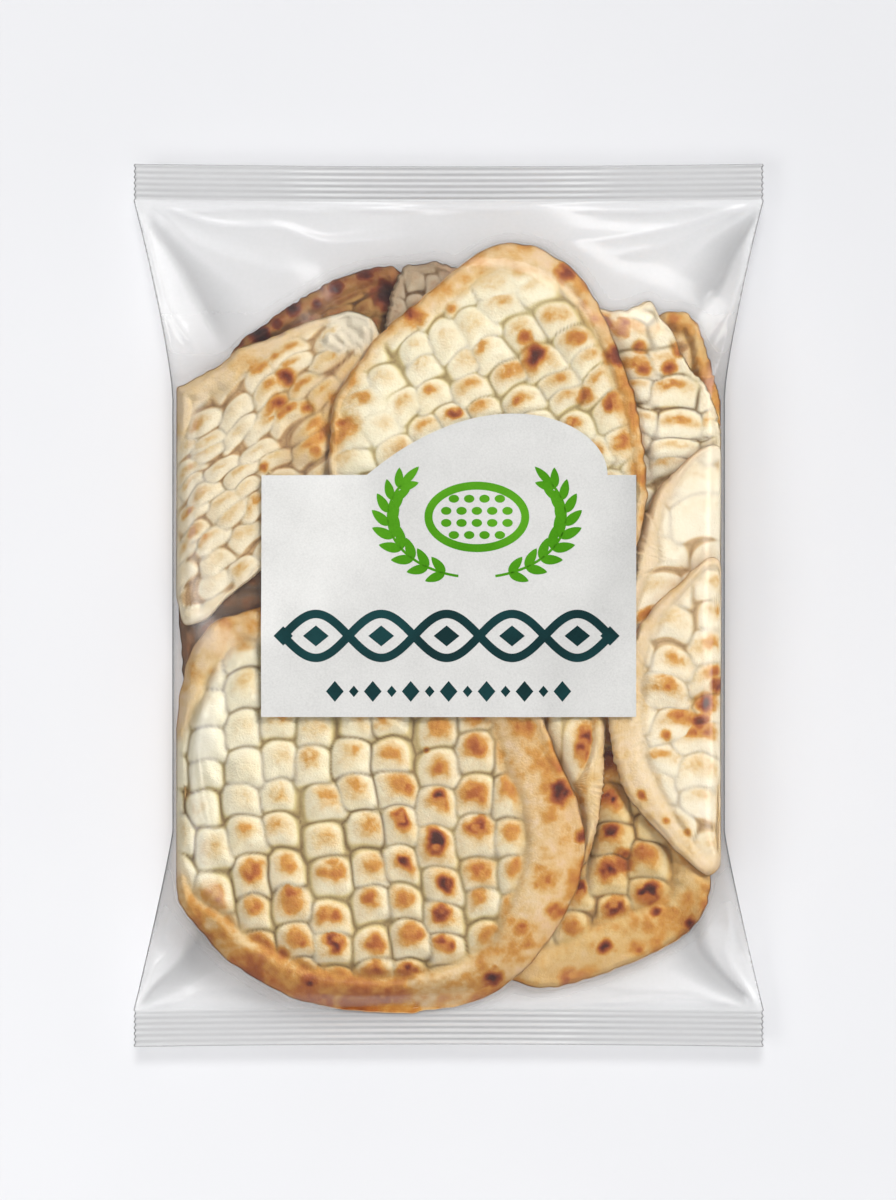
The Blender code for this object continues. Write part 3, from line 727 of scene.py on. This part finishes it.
        "burns": [(56, -91, 7, 1.0), (21, -185, 6, 1.0), (66, -113, 4, 1.0), (54, -151, 6, 0.6),
                  (36, -160, 5, 0.6), (48, -135, 9, 0.5), (37, -60, 8, 0.55), (-70, -187, 6, 0.85),
                  (-83, -173, 5, 0.6), (-34, -194, 8, 0.65), (-62, -198, 6, 0.6), (-11, -71, 1.6, 0.9)],
    },
]



def pile_up(breads):
    """Lays breads on each other, each bending over what is under it, and gives the pile's depth in mm."""
    pile = np.zeros_like(grid_x)
    for bread in breads:
        reach, depth = inside_bread(bread, grid_x, grid_y)
        bottom = pile.copy()
        for _ in range(DRAPE_PASSES):
            bottom = np.maximum(pile, blurred(bottom))
        for _ in range(SOFTENING_PASSES):
            bottom = blurred(bottom)
        bread["bottom_mm"] = bottom
        top = bottom + thickness(bread, grid_x, grid_y, np.maximum(depth, 0))
        pile = np.where(reach < 1, top, pile)
    return pile


def settled(limit, passes):
    """The smoothest field that nowhere goes over a limit."""
    field = limit.copy()
    for _ in range(passes):
        field = np.minimum(limit, blurred(field))
    return field


# The breads that show keep their thickness, and the stacks under them fill the rest up to the film
room_mm = np.maximum(front_mm - back_mm - 2 * FILM_CLEARANCE_MM, 0.5)
base_mm = pile_up(BASE_BREADS)
shown_mm = pile_up(BREADS)
bed_mm = settled(np.maximum(room_mm - shown_mm, 0.0), 60)
base_squeeze = settled(np.where(base_mm > 1, bed_mm / np.maximum(base_mm, 1), 1.4), 4)
squeeze = settled(np.where(shown_mm > 1, np.minimum(1.1, (room_mm - bed_mm) / np.maximum(shown_mm, 1)), 1.1), 30)
for bread in BASE_BREADS:
    bread["lift_mm"], bread["squeeze"] = np.zeros_like(grid_x), base_squeeze
for bread in BREADS:
    bread["lift_mm"], bread["squeeze"] = bed_mm, squeeze
print("base", base_mm.max().round(1), "squeeze", base_squeeze[base_mm > 1].min().round(2),
      np.median(base_squeeze[base_mm > 1]).round(2), base_squeeze[base_mm > 1].max().round(2))
print("shown", shown_mm.max().round(1), "squeeze", squeeze[shown_mm > 1].min().round(2),
      np.median(squeeze[shown_mm > 1]).round(2))
slack = front_mm - back_mm - bed_mm - squeeze * shown_mm
print("film above the bread", np.percentile(slack[shown_mm > 1], [1, 25, 50, 75, 95, 99]).round(1))


def set_ramp(node, stops):
    """Fills a colour ramp with stops, each a place and a hex colour."""
    ramp = node.color_ramp
    while len(ramp.elements) < len(stops):
        ramp.elements.new(0.5)
    for element, (place, colour) in zip(ramp.elements, stops):
        element.position = place
        element.color = linear(colour)


# Colours of the different doughs: the plain crumb, its paler patches, its deeper tone and its creases, both of these
# painted shade towards the grooves, and its rim
CRUMBS = {
    "cream": ("#e2d6ac", "#efe7cc", "#cfbd86", "#94793f", "#d6a176"),
    "cream_warm": ("#e8d8b0", "#f0e6c8", "#d9bf88", "#a17a48", "#e0b67e"),
    "gold": ("#d9be82", "#e9d6a6", "#b98544", "#74491f", "#cb9458"),
    "straw": ("#e6dab4", "#f0e8d0", "#d2ba88", "#a17a48", "#dcb988"),
    "rose": ("#dfcba4", "#ece0c4", "#cca878", "#94683c", "#d8b48a"),
    "rose_pale": ("#e7d9bb", "#efe5cd", "#d8bc90", "#a57c4c", "#dab48a"),
    "tan": ("#d8b98a", "#e2cba4", "#c09058", "#7c5228", "#cc9c62"),
    "brown": ("#c9a878", "#d8be94", "#a87c4c", "#6a4424", "#b98a56"),
    "burnt": ("#96682e", "#b88e4e", "#5a3418", "#2a160a", "#94642c"),
    "grey": ("#a08c70", "#baa98e", "#6c563e", "#443222", "#887056"),
    # shadow is painted shadow: the dark colours of a bread that shows only deep in a gap
    "shadow": ("#58453a", "#6a574a", "#3e3028", "#281e18", "#544236"),
}
DARK_DOUGHS = ("burnt", "grey", "shadow")
PALE_TOAST = ((0.04, "#dec99a"), (0.2, "#d7b26a"), (0.36, "#cd9240"), (0.54, "#b16425"), (0.76, "#843713"),
              (1.0, "#451a0e"))
DARK_TOAST = ((0.04, "#a8804c"), (0.2, "#9c6234"), (0.34, "#86421c"), (0.5, "#6a2a12"), (0.7, "#461a0e"),
              (1.0, "#2c120c"))


def baked_dough(hue):
    """Baked wheat dough: matt, porous crumb, gold to brown where it touched the iron, dark in cracks."""
    material, output = new_material("baked_dough_" + hue)
    plain, pale, deep, crease_shade_colour, rim_colour = CRUMBS[hue]
    place = add_node(material, "ShaderNodeTexCoord").outputs["Object"]
    toast, groove_shade, rim, torn, pillow_shading = (
        add_node(material, "ShaderNodeAttribute", attribute_name=name).outputs["Fac"]
        for name in ("toast", "groove_shade", "rim", "torn", "pillow_shading"))

    # Patches some 15 mm wide where more or less flour stayed on, and 2 mm freckles from air bubbles
    patches = add_node(material, "ShaderNodeTexNoise", {"Scale": 65.0, "Detail": 4.0, "Roughness": 0.6},
                       {"Vector": place})
    freckles = add_node(material, "ShaderNodeTexNoise", {"Scale": 420.0, "Detail": 3.0, "Roughness": 0.65},
                        {"Vector": place})
    # Painted shade: the pillows' flanks turn olive towards the grooves and their tops stay pale, with patches of
    # flour over both
    flour = add_node(material, "ShaderNodeMath", {1: 0.4}, {0: patches.outputs["Fac"]}, operation="MULTIPLY")
    flour_and_shade = add_node(material, "ShaderNodeMath", {1: 0.68}, {0: pillow_shading, 2: flour.outputs[0]},
                      operation="MULTIPLY_ADD")
    crumb = add_node(material, "ShaderNodeValToRGB", links={"Fac": flour_and_shade.outputs[0]})
    set_ramp(crumb, [(0.18, crease_shade_colour), (0.46, deep), (0.68, plain), (0.9, pale)])

    # The rim takes more heat than the crumb: a rosy tan
    rosy = add_node(material, "ShaderNodeMath", {1: 0.9, 2: 0.3}, {0: patches.outputs["Fac"]},
                    operation="MULTIPLY_ADD")
    rim_heat = add_node(material, "ShaderNodeMath", links={0: rim, 1: rosy.outputs[0]}, operation="MULTIPLY")
    rim_tint = add_node(material, "ShaderNodeMix", {"B": linear(rim_colour)},
                        {"Factor": rim_heat.outputs[0], "A": crumb.outputs["Color"]}, data_type="RGBA")

    # Toast runs from gold over orange brown to nearly black, its edge broken up by the freckles. On dough
    # that is brown all over it only darkens.
    wobble = add_node(material, "ShaderNodeMath", {1: 0.5}, {0: freckles.outputs["Fac"]},
                      operation="SUBTRACT")
    broken = add_node(material, "ShaderNodeMath", {1: 0.22}, {0: wobble.outputs[0], 2: toast},
                      operation="MULTIPLY_ADD")
    toast_share = add_node(material, "ShaderNodeMapRange",
                           {"From Min": 0.02, "From Max": 0.34}, {"Value": broken.outputs[0]})
    toast_colour = add_node(material, "ShaderNodeValToRGB", links={"Fac": broken.outputs[0]})
    set_ramp(toast_colour, DARK_TOAST if hue in DARK_DOUGHS else PALE_TOAST)
    toasted = add_node(material, "ShaderNodeMix", None,
                       {"Factor": toast_share.outputs[0], "A": rim_tint.outputs["Result"],
                        "B": toast_colour.outputs["Color"]}, data_type="RGBA")

    # Painted shade: the grooves are drawn as thin lines of darker dough
    groove_shade_share = add_node(material, "ShaderNodeMath", {1: 0.9}, {0: groove_shade}, operation="MULTIPLY")
    groove_shaded = add_node(material, "ShaderNodeMix", {"B": linear("#61401c")},
                       {"Factor": groove_shade_share.outputs[0], "A": toasted.outputs["Result"]},
                       data_type="RGBA")

    # Where the bread was torn its inner crumb shows, pale and without a crust
    torn_open = add_node(material, "ShaderNodeMix", {"B": linear("#dfd3ba")},
                         {"Factor": torn, "A": groove_shaded.outputs["Result"]}, data_type="RGBA")

    # Pores and a crackled skin under 1 mm
    pores = add_node(material, "ShaderNodeTexNoise", {"Scale": 900.0, "Detail": 3.0}, {"Vector": place})
    skin = add_node(material, "ShaderNodeMath", {1: 0.5}, {0: freckles.outputs["Fac"], 2: pores.outputs["Fac"]},
                    operation="MULTIPLY_ADD")
    bump = add_node(material, "ShaderNodeBump", {"Strength": 0.55, "Distance": 0.0007},
                    {"Height": skin.outputs[0]})
    shader = add_node(material, "ShaderNodeBsdfPrincipled",
                      {"Roughness": 0.72, "IOR": 1.45, "Specular IOR Level": 0.35},
                      {"Base Color": torn_open.outputs["Result"], "Normal": bump.outputs["Normal"]})
    material.node_tree.links.new(shader.outputs[0], output.inputs["Surface"])
    return material


def bake_bread(bread):
    """One bread, shaped from a sphere: flattened to its outline, pressed by fingers and laid on the pile."""
    segments, top_rings = bread["detail"]
    under_rings = 2
    rings = top_rings + under_rings
    bpy.ops.object.select_all(action="DESELECT")
    bpy.ops.mesh.primitive_uv_sphere_add(segments=segments, ring_count=rings, radius=1.0)
    obj = bpy.context.active_object
    obj.name = obj.data.name = bread["name"]
    finer = obj.modifiers.new("finer", "SUBSURF")
    finer.subdivision_type = "SIMPLE"
    finer.levels = finer.render_levels = 3
    bpy.ops.object.modifier_apply(modifier="finer")
    count = len(obj.data.vertices)
    ball = np.empty(count * 3)
    obj.data.vertices.foreach_get("co", ball)
    ball = ball.reshape(-1, 3)
    ring = np.arccos(np.clip(ball[:, 2], -1, 1)) / math.pi * rings
    on_top = ring <= top_rings + 1e-3
    share = np.where(on_top, ring / top_rings, (rings - ring) / under_rings)
    reach = np.sin(share * math.pi / 2)
    angle = np.arctan2(ball[:, 1], ball[:, 0])
    radii = outline_radii(bread, angle)
    x = bread["middle"][0] + reach * radii * np.cos(angle)
    y = bread["middle"][1] + reach * radii * np.sin(angle)
    depth = (1 - reach) * radii
    inward = np.clip(depth / UNDERSIDE_ROUNDING_MM, 0, 1)
    full = thickness(bread, x, y, depth)
    underside = 0.42 * BREAD_THICKNESS_MM * (1 - np.sqrt(1 - (1 - inward) ** 2))
    squeezed = read_grid(bread["squeeze"], x, y)
    bottom = read_grid(back_mm, x, y) + FILM_CLEARANCE_MM + read_grid(bread["lift_mm"], x, y)
    bottom = bottom + squeezed * read_grid(bread["bottom_mm"], x, y)
    sinking, marks = bread_detail(bread, x, y, depth)
    body = squeezed * np.maximum(full, underside)
    sinking = np.minimum(sinking * smooth_step(depth / 6.0), 0.62 * body)
    z = bottom + np.where(on_top, body - sinking, squeezed * underside + 0.15)
    obj.data.vertices.foreach_set("co", (np.stack([x, y, z], axis=1) * MM).ravel())
    under_toast = 0.5 * lumps(x, y, 8.0, bread["seed"] + 13) * lumps(x, y, 30.0, bread["seed"] + 14)
    under = {"toast": under_toast, "groove_shade": 0.0, "rim": marks["rim"], "torn": 0.0, "pillow_shading": 0.8}
    for name, values in marks.items():
        mark = obj.data.attributes.new(name, "FLOAT", "POINT")
        mark.data.foreach_set("value", np.where(on_top, values, under[name]))
    bpy.ops.object.shade_smooth()
    obj.data.materials.append(doughs[bread["hue"]])
    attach(obj, "root")
    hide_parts("sealed_bag")
    return obj


doughs = {hue: baked_dough(hue) for hue in sorted({bread["hue"] for bread in BASE_BREADS + BREADS})}
for bread in BASE_BREADS + BREADS:
    bake_bread(bread)

# Film that clings to bread is clear: only the loose film of the necks is milky with fine wrinkles
covered = np.clip(shown_mm, 0, 1)
for _ in range(6):
    covered = blurred(covered)
covered = np.minimum(2 * covered, 1)
film_places = np.empty(len(film.data.vertices) * 3)
film.data.vertices.foreach_get("co", film_places)
film_places = film_places.reshape(-1, 3) / MM
film_milk = np.empty(len(film.data.vertices))
film.data.attributes["milk"].data.foreach_get("value", film_milk)
film_milk *= 1 - read_grid(covered, film_places[:, 0], film_places[:, 1])
film.data.attributes["milk"].data.foreach_set("value", film_milk)

# The label
# Uncoated off-white paper, die-cut to a rectangle with a lopsided arch on top, and glued to the
# front film, whose larger waves it follows.
LABEL_COLUMNS = (35, 49, 31, 9)
LABEL_ROWS = 90
LABEL_SHOULDER_MM = 65.8
ARCH_LEFT_MM = -40.5
ARCH_PEAK_MM = 32.5
ARCH_RIGHT_MM = 78.8
LABEL_THICKNESS_MM = 0.25
GLUE_MM = 0.2
LABEL_STIFFNESS = 30

label_low, label_high = (np.array(corner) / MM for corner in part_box("label"))

# Paper is stiffer than film and bridges its fine waves
bridged_mm = front_mm.copy()
for _ in range(LABEL_STIFFNESS):
    bridged_mm = np.maximum(blurred(bridged_mm), front_mm - 0.05)


def label_top(x):
    """The label's upper edge: level shoulders, a parabola up to the peak and a quarter ellipse down from it."""
    rise = label_high[1] - LABEL_SHOULDER_MM
    left = np.clip((ARCH_PEAK_MM - x) / (ARCH_PEAK_MM - ARCH_LEFT_MM), 0, 1)
    right = np.clip((x - ARCH_PEAK_MM) / (ARCH_RIGHT_MM - ARCH_PEAK_MM), 0, 1)
    arch = np.where(x < ARCH_PEAK_MM, 1 - left**2, np.sqrt(1 - right**2))
    return LABEL_SHOULDER_MM + rise * arch


def label_column_places():
    """The columns of points across the label in mm, crowded where the arch is steep."""
    left, arch_up, arch_down, right = LABEL_COLUMNS
    down = np.sin(np.linspace(0, math.pi / 2, arch_down + 1))
    return np.concatenate([
        np.linspace(label_low[0], ARCH_LEFT_MM, left + 1)[:-1],
        np.linspace(ARCH_LEFT_MM, ARCH_PEAK_MM, arch_up + 1)[:-1],
        ARCH_PEAK_MM + (ARCH_RIGHT_MM - ARCH_PEAK_MM) * down[:-1],
        np.linspace(ARCH_RIGHT_MM, label_high[0], right + 1),
    ])


def label_points():
    """The label's lower face in mm, row by row, just over the film."""
    columns_x = label_column_places()
    share = np.linspace(0, 1, LABEL_ROWS + 1)[:, None]
    x = np.repeat(columns_x[None, :], share.size, axis=0)
    y = label_low[1] + share * (label_top(columns_x)[None, :] - label_low[1])
    return x, y, read_grid(bridged_mm, x, y) + GLUE_MM


def label_paper():
    """Uncoated paper: matt, with a felt grain and short fibres that mottle its off-white."""
    material, output = new_material("uncoated_paper")
    place = add_node(material, "ShaderNodeTexCoord").outputs["Object"]
    # The grain is 0.4 mm on real paper, drawn at 1 mm so that it shows
    grain = add_node(material, "ShaderNodeTexNoise", {"Scale": 1000.0, "Detail": 3.0, "Roughness": 0.7},
                     {"Vector": place})
    clouds = add_node(material, "ShaderNodeTexNoise", {"Scale": 55.0, "Detail": 3.0}, {"Vector": place})
    mottle = add_node(material, "ShaderNodeMath", {1: 0.5}, {0: clouds.outputs["Fac"], 2: grain.outputs["Fac"]},
                      operation="MULTIPLY_ADD")
    tone = add_node(material, "ShaderNodeValToRGB", links={"Fac": mottle.outputs[0]})
    set_ramp(tone, [(0.45, "#cac9c6"), (0.75, "#d5d4d1"), (1.0, "#dcdbd8")])
    bump = add_node(material, "ShaderNodeBump", {"Strength": 0.2, "Distance": 0.0002},
                    {"Height": grain.outputs["Fac"]})
    shader = add_node(material, "ShaderNodeBsdfPrincipled", {"Roughness": 0.85, "Specular IOR Level": 0.25},
                      {"Base Color": tone.outputs["Color"], "Normal": bump.outputs["Normal"]})
    material.node_tree.links.new(shader.outputs[0], output.inputs["Surface"])
    return material


label_x, label_y, label_z = label_points()
label_sheet = film_sheet("label_sheet", label_x, label_y, label_z)
wall = label_sheet.modifiers.new("thickness", "SOLIDIFY")
wall.thickness = LABEL_THICKNESS_MM * MM
wall.offset = 1.0
bpy.ops.object.modifier_apply(modifier="thickness")
bpy.ops.object.shade_smooth_by_angle(angle=math.radians(40))
label_sheet.data.materials.append(label_paper())
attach(label_sheet, "root")
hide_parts("label")
label_shape = bmesh.new()
label_shape.from_mesh(label_sheet.data)
label_tree = BVHTree.FromBMesh(label_shape)
label_shape.free()

# The print
# Flat ink on the paper: a wreath of two wheat ears round a dimpled flatbread in leaf green, and below
# it a plaited band and a row of lozenges in dark teal.
INK_MM = 0.03
WREATH_CENTRE_MM = (14.0, 45.0)
WREATH_RADII_MM = (44.0, 30.0)
WREATH_START_DEG = 12.0
WREATH_SWEEP_DEG = 113.0
GRAIN_PAIRS = 9
GRAIN_LENGTH_MM = 12.0
GRAIN_WIDTH_MM = 5.0
GRAIN_SPLAY_DEG = 36.0
BREAD_MARK_RADII_MM = (24.0, 15.5)
BREAD_MARK_DIMPLES = (4, 5, 5, 4)
PLAIT_CENTRE_MM = (-1.0, -14.0)
PLAIT_LENGTH_MM = 162.0
PLAIT_HEIGHT_MM = 26.0
PLAIT_TURNS = 5
PLAIT_STROKE_MM = 4.2
LOZENGE_ROW_MM = (0.0, -41.5)
LOZENGE_COUNT = 13
LOZENGE_PITCH_MM = 9.4


def ink_patch(columns, rows, shape_at, layer=1):
    """One printed patch: a grid whose points are put in place and laid on the label, layer by layer."""
    bpy.ops.object.select_all(action="DESELECT")
    bpy.ops.mesh.primitive_grid_add(x_subdivisions=columns, y_subdivisions=rows, size=2)
    patch = bpy.context.active_object
    for vertex in patch.data.vertices:
        x, y = shape_at(vertex.co.x, vertex.co.y)
        hit = label_tree.ray_cast(Vector((x * MM, y * MM, 0.3)), Vector((0, 0, -1)))
        vertex.co = (x * MM, y * MM, hit[0].z + layer * INK_MM * MM)
    return patch


def almond(x, y, angle, length, width):
    """A grain of wheat from its foot at x, y, as a function from a grid's square to the label in mm."""
    def shape_at(u, v):
        along = length * (u + 1) / 2
        aside = width / 2 * v * max(0.0, 1 - u * u) ** 0.75 * (1 - 0.25 * u)
        return (x + along * math.cos(angle) - aside * math.sin(angle),
                y + along * math.sin(angle) + aside * math.cos(angle))
    return shape_at


def stroke(path, width):
    """A line of ink along a path, a function from 0 to 1, as a function from a grid's square."""
    def shape_at(u, v):
        share = (u + 1) / 2
        (x0, y0), (x1, y1) = path(share - 0.002), path(share + 0.002)
        length = math.hypot(x1 - x0, y1 - y0)
        x, y = path(share)
        return x - (y1 - y0) / length * v * width(share) / 2, y + (x1 - x0) / length * v * width(share) / 2
    return shape_at


def wreath_point(side, share):
    """A place on a wreath's stem, from its foot to its tip, and the stem's heading there."""
    angle = math.radians(-90 + side * (WREATH_START_DEG + WREATH_SWEEP_DEG * share))
    half_width, half_height = WREATH_RADII_MM
    x = WREATH_CENTRE_MM[0] + half_width * math.cos(angle)
    y = WREATH_CENTRE_MM[1] + half_height * math.sin(angle)
    return x, y, math.atan2(side * half_height * math.cos(angle), -side * half_width * math.sin(angle))


def joined_ink(patches, name, material):
    """Joins patches into one printed piece."""
    bpy.ops.object.select_all(action="DESELECT")
    for patch in patches:
        patch.select_set(True)
    bpy.context.view_layer.objects.active = patches[0]
    bpy.ops.object.join()
    bpy.ops.object.mode_set(mode="EDIT")
    bpy.ops.mesh.select_all(action="SELECT")
    bpy.ops.mesh.remove_doubles(threshold=1e-6)
    bpy.ops.mesh.normals_make_consistent(inside=False)
    bpy.ops.object.mode_set(mode="OBJECT")
    piece = bpy.context.active_object
    piece.name = piece.data.name = name
    if piece.data.polygons[0].normal.z < 0:
        piece.data.flip_normals()
    bpy.ops.object.shade_smooth()
    piece.data.materials.append(material)
    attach(piece, "root")
    return piece


def print_ink(name, deep, plain):
    """Offset ink on uncoated paper: satin, and a little uneven where the paper drank it."""
    material, output = new_material(name)
    place = add_node(material, "ShaderNodeTexCoord").outputs["Object"]
    # The paper's grain, drawn at 1 mm as on the label, and clouds some 40 mm wide
    grain = add_node(material, "ShaderNodeTexNoise", {"Scale": 1000.0, "Detail": 2.0}, {"Vector": place})
    clouds = add_node(material, "ShaderNodeTexNoise", {"Scale": 25.0, "Detail": 2.0}, {"Vector": place})
    uneven = add_node(material, "ShaderNodeMath", {1: 0.25}, {0: grain.outputs["Fac"], 2: clouds.outputs["Fac"]},
                      operation="MULTIPLY_ADD")
    tone = add_node(material, "ShaderNodeValToRGB", links={"Fac": uneven.outputs[0]})
    set_ramp(tone, [(0.45, deep), (0.8, plain)])
    shader = add_node(material, "ShaderNodeBsdfPrincipled", {"Roughness": 0.6, "Specular IOR Level": 0.3},
                      {"Base Color": tone.outputs["Color"]})
    material.node_tree.links.new(shader.outputs[0], output.inputs["Surface"])
    return material


green_patches = []
for side in (-1, 1):
    green_patches.append(ink_patch(60, 1, stroke(lambda share: wreath_point(side, share)[:2], lambda share: 1.3)))
    for pair in range(GRAIN_PAIRS):
        x, y, heading = wreath_point(side, 0.08 + 0.86 * pair / (GRAIN_PAIRS - 1))
        size = 1.0 - 0.25 * abs(pair / (GRAIN_PAIRS - 1) - 0.45)
        for splay in (-GRAIN_SPLAY_DEG, GRAIN_SPLAY_DEG):
            shape = almond(x, y, heading + math.radians(splay), size * GRAIN_LENGTH_MM, size * GRAIN_WIDTH_MM)
            green_patches.append(ink_patch(12, 4, shape, 2 + pair % 2))
    x, y, heading = wreath_point(side, 0.98)
    green_patches.append(ink_patch(12, 4, almond(x, y, heading, GRAIN_LENGTH_MM, 0.8 * GRAIN_WIDTH_MM), 4))

mark_x, mark_y = WREATH_CENTRE_MM
green_patches.append(ink_patch(72, 1, stroke(
    lambda share: (mark_x + BREAD_MARK_RADII_MM[0] * math.cos(2 * math.pi * share),
                   mark_y + BREAD_MARK_RADII_MM[1] * math.sin(2 * math.pi * share)),
    lambda share: 4.0)))
for row, count in enumerate(BREAD_MARK_DIMPLES):
    for place in range(count):
        dot_x, dot_y = mark_x + 7.6 * (place - (count - 1) / 2), mark_y + 6.0 * (row - 1.5)
        green_patches.append(ink_patch(6, 6, lambda u, v: (
            dot_x + 2.6 * u * math.sqrt(1 - v * v / 2), dot_y + 2.0 * v * math.sqrt(1 - u * u / 2))))
joined_ink(green_patches, "print_wreath", print_ink("green_offset_ink", "#418a03", "#58a01a"))

teal_patches = []
for side in (-1, 1):
    teal_patches.append(ink_patch(240, 1, stroke(
        lambda share: (PLAIT_CENTRE_MM[0] + PLAIT_LENGTH_MM * (share - 0.5),
                       PLAIT_CENTRE_MM[1] + side * (PLAIT_HEIGHT_MM - PLAIT_STROKE_MM) / 2
                       * math.sin(math.pi * PLAIT_TURNS * share)),
        lambda share: PLAIT_STROKE_MM), 2 + side))
    end_x, end_y = PLAIT_CENTRE_MM[0] + side * PLAIT_LENGTH_MM / 2, PLAIT_CENTRE_MM[1]
    teal_patches.append(ink_patch(6, 6, lambda u, v: (end_x + 2.4 * (u + v), end_y + 2.4 * (v - u)), 4))
for turn in range(PLAIT_TURNS):
    x = PLAIT_CENTRE_MM[0] + PLAIT_LENGTH_MM * ((turn + 0.5) / PLAIT_TURNS - 0.5)
    y = PLAIT_CENTRE_MM[1]
    teal_patches.append(ink_patch(8, 8, lambda u, v: (x + 3.2 * (u + v), y + 2.6 * (v - u))))
for number in range(LOZENGE_COUNT):
    x = LOZENGE_ROW_MM[0] + LOZENGE_PITCH_MM * (number - (LOZENGE_COUNT - 1) / 2)
    y = LOZENGE_ROW_MM[1]
    size = 1.0 if number % 2 == 0 else 0.55
    teal_patches.append(ink_patch(6, 6, lambda u, v: (x + 2.2 * size * (u + v), y + 2.6 * size * (v - u))))
joined_ink(teal_patches, "print_band", print_ink("teal_offset_ink", "#072b2d", "#0f3f41"))

# The floor, the lights and the camera
# A plain pale table top, soft boxes above it and the photograph's straight view of the bag's front.
FLOOR_SIZE = 4.0
CAMERA_HEIGHT = 3.0
FRAME_HEIGHT_M = 0.600
FRAME_CENTRE = (-0.0003, 0.0038)
SENSOR_MM = 36.0

bpy.ops.object.select_all(action="DESELECT")
bpy.ops.mesh.primitive_plane_add(size=FLOOR_SIZE)
floor = bpy.context.active_object
floor.name = "floor"
paint, output = new_material("matt_pale_table")
wear = add_node(paint, "ShaderNodeTexNoise", {"Scale": 6.0, "Detail": 3.0},
                {"Vector": add_node(paint, "ShaderNodeTexCoord").outputs["Object"]})
tone = add_node(paint, "ShaderNodeValToRGB", links={"Fac": wear.outputs["Fac"]})
set_ramp(tone, [(0.3, "#dfdfe1"), (0.7, "#e1e1e3")])
matt = add_node(paint, "ShaderNodeBsdfPrincipled", {"Roughness": 0.9, "Specular IOR Level": 0.1},
                {"Base Color": tone.outputs["Color"]})
paint.node_tree.links.new(matt.outputs[0], output.inputs["Surface"])
floor.data.materials.append(paint)
floor.visible_glossy = False


def soft_box(name, place, target, size, power):
    """A rectangular studio lamp at a place, facing a target. It lights everything."""
    lamp = bpy.data.lights.new(name, "AREA")
    lamp.shape = "RECTANGLE"
    lamp.size, lamp.size_y = size
    lamp.energy = power
    obj = bpy.data.objects.new(name, lamp)
    obj.location = place
    way = Vector(target) - Vector(place)
    obj.rotation_euler = way.to_track_quat("-Z", "Y").to_euler()
    bpy.context.scene.collection.objects.link(obj)
    return obj


def group_of(name, pieces):
    """A collection that holds these pieces beside their own one."""
    group = bpy.data.collections.new(name)
    for piece in pieces:
        group.objects.link(piece)
    return group


def far_lamp(name, way, strength, spread_deg, lit, blockers=None):
    """A far lamp that shines one way, lights only some pieces and is shaded only by its blockers."""
    lamp = bpy.data.lights.new(name, "SUN")
    lamp.energy = strength
    lamp.angle = math.radians(spread_deg)
    obj = bpy.data.objects.new(name, lamp)
    obj.rotation_euler = Vector(way).to_track_quat("-Z", "Y").to_euler()
    obj.visible_glossy = False
    bpy.context.scene.collection.objects.link(obj)
    obj.light_linking.receiver_collection = group_of("lit_by_" + name, lit)
    if blockers:
        obj.light_linking.blocker_collection = group_of("shades_" + name, blockers)
    return obj


pack = [obj for obj in bpy.context.scene.objects if obj.type == "MESH" and obj is not floor]
opaque = [obj for obj in pack if obj is not film]
breads = [obj for obj in opaque if obj.name.startswith("bread")]
paper = [obj for obj in opaque if obj not in breads]
far_lamp("window", (-0.60, -0.62, -0.80), 3.1, 30, breads + [film], opaque)
far_lamp("paper_lamp", (0.7, -0.5, -0.8), 3.3, 30, paper, opaque)
far_lamp("fill", (-0.05, 1.0, -0.5), 0.6, 60, breads, opaque)
far_lamp("table_lamp", (0.0, 0.05, -1.0), 1.45, 50, [floor], opaque)
far_lamp("table_window", (0.0, -0.75, -1.0), 1.15, 20, [floor])
soft_box("lower_box", (0.1, -1.25, 1.8), (0, 0, 0), (1.6, 1.0), 4).visible_glossy = False
soft_box("left_box", (-1.35, -0.5, 1.7), (0, -0.1, 0), (1.3, 0.9), 6)

# White cards that show only as reflections in the film: beyond both ends and off both sides
for name, place, size, power in (
        ("top_card", (0.6, 2.2, 1.3), (1.9, 0.8), 9), ("bottom_card", (-0.3, -2.4, 1.0), (2.0, 0.7), 1.2),
        ("left_card", (-2.0, 0.3, 1.6), (1.8, 0.6), 5), ("right_card", (2.2, 0.2, 1.1), (1.6, 0.4), 4)):
    soft_box(name, place, (0, 0, 0), size, power).visible_diffuse = False

world = bpy.data.worlds.new("studio")
world.use_nodes = True
world.node_tree.nodes["Background"].inputs["Color"].default_value = linear("#f4f6fa")
world.node_tree.nodes["Background"].inputs["Strength"].default_value = 0.22
bpy.context.scene.world = world
bpy.context.scene.view_settings.view_transform = "Standard"

camera_data = bpy.data.cameras.new("camera")
camera_data.sensor_width = SENSOR_MM
camera_data.lens = SENSOR_MM * (CAMERA_HEIGHT - 0.03) / FRAME_HEIGHT_M
camera_data.clip_end = 20.0
camera = bpy.data.objects.new("camera", camera_data)
camera.location = (*FRAME_CENTRE, CAMERA_HEIGHT)
bpy.context.scene.collection.objects.link(camera)
bpy.context.scene.camera = camera
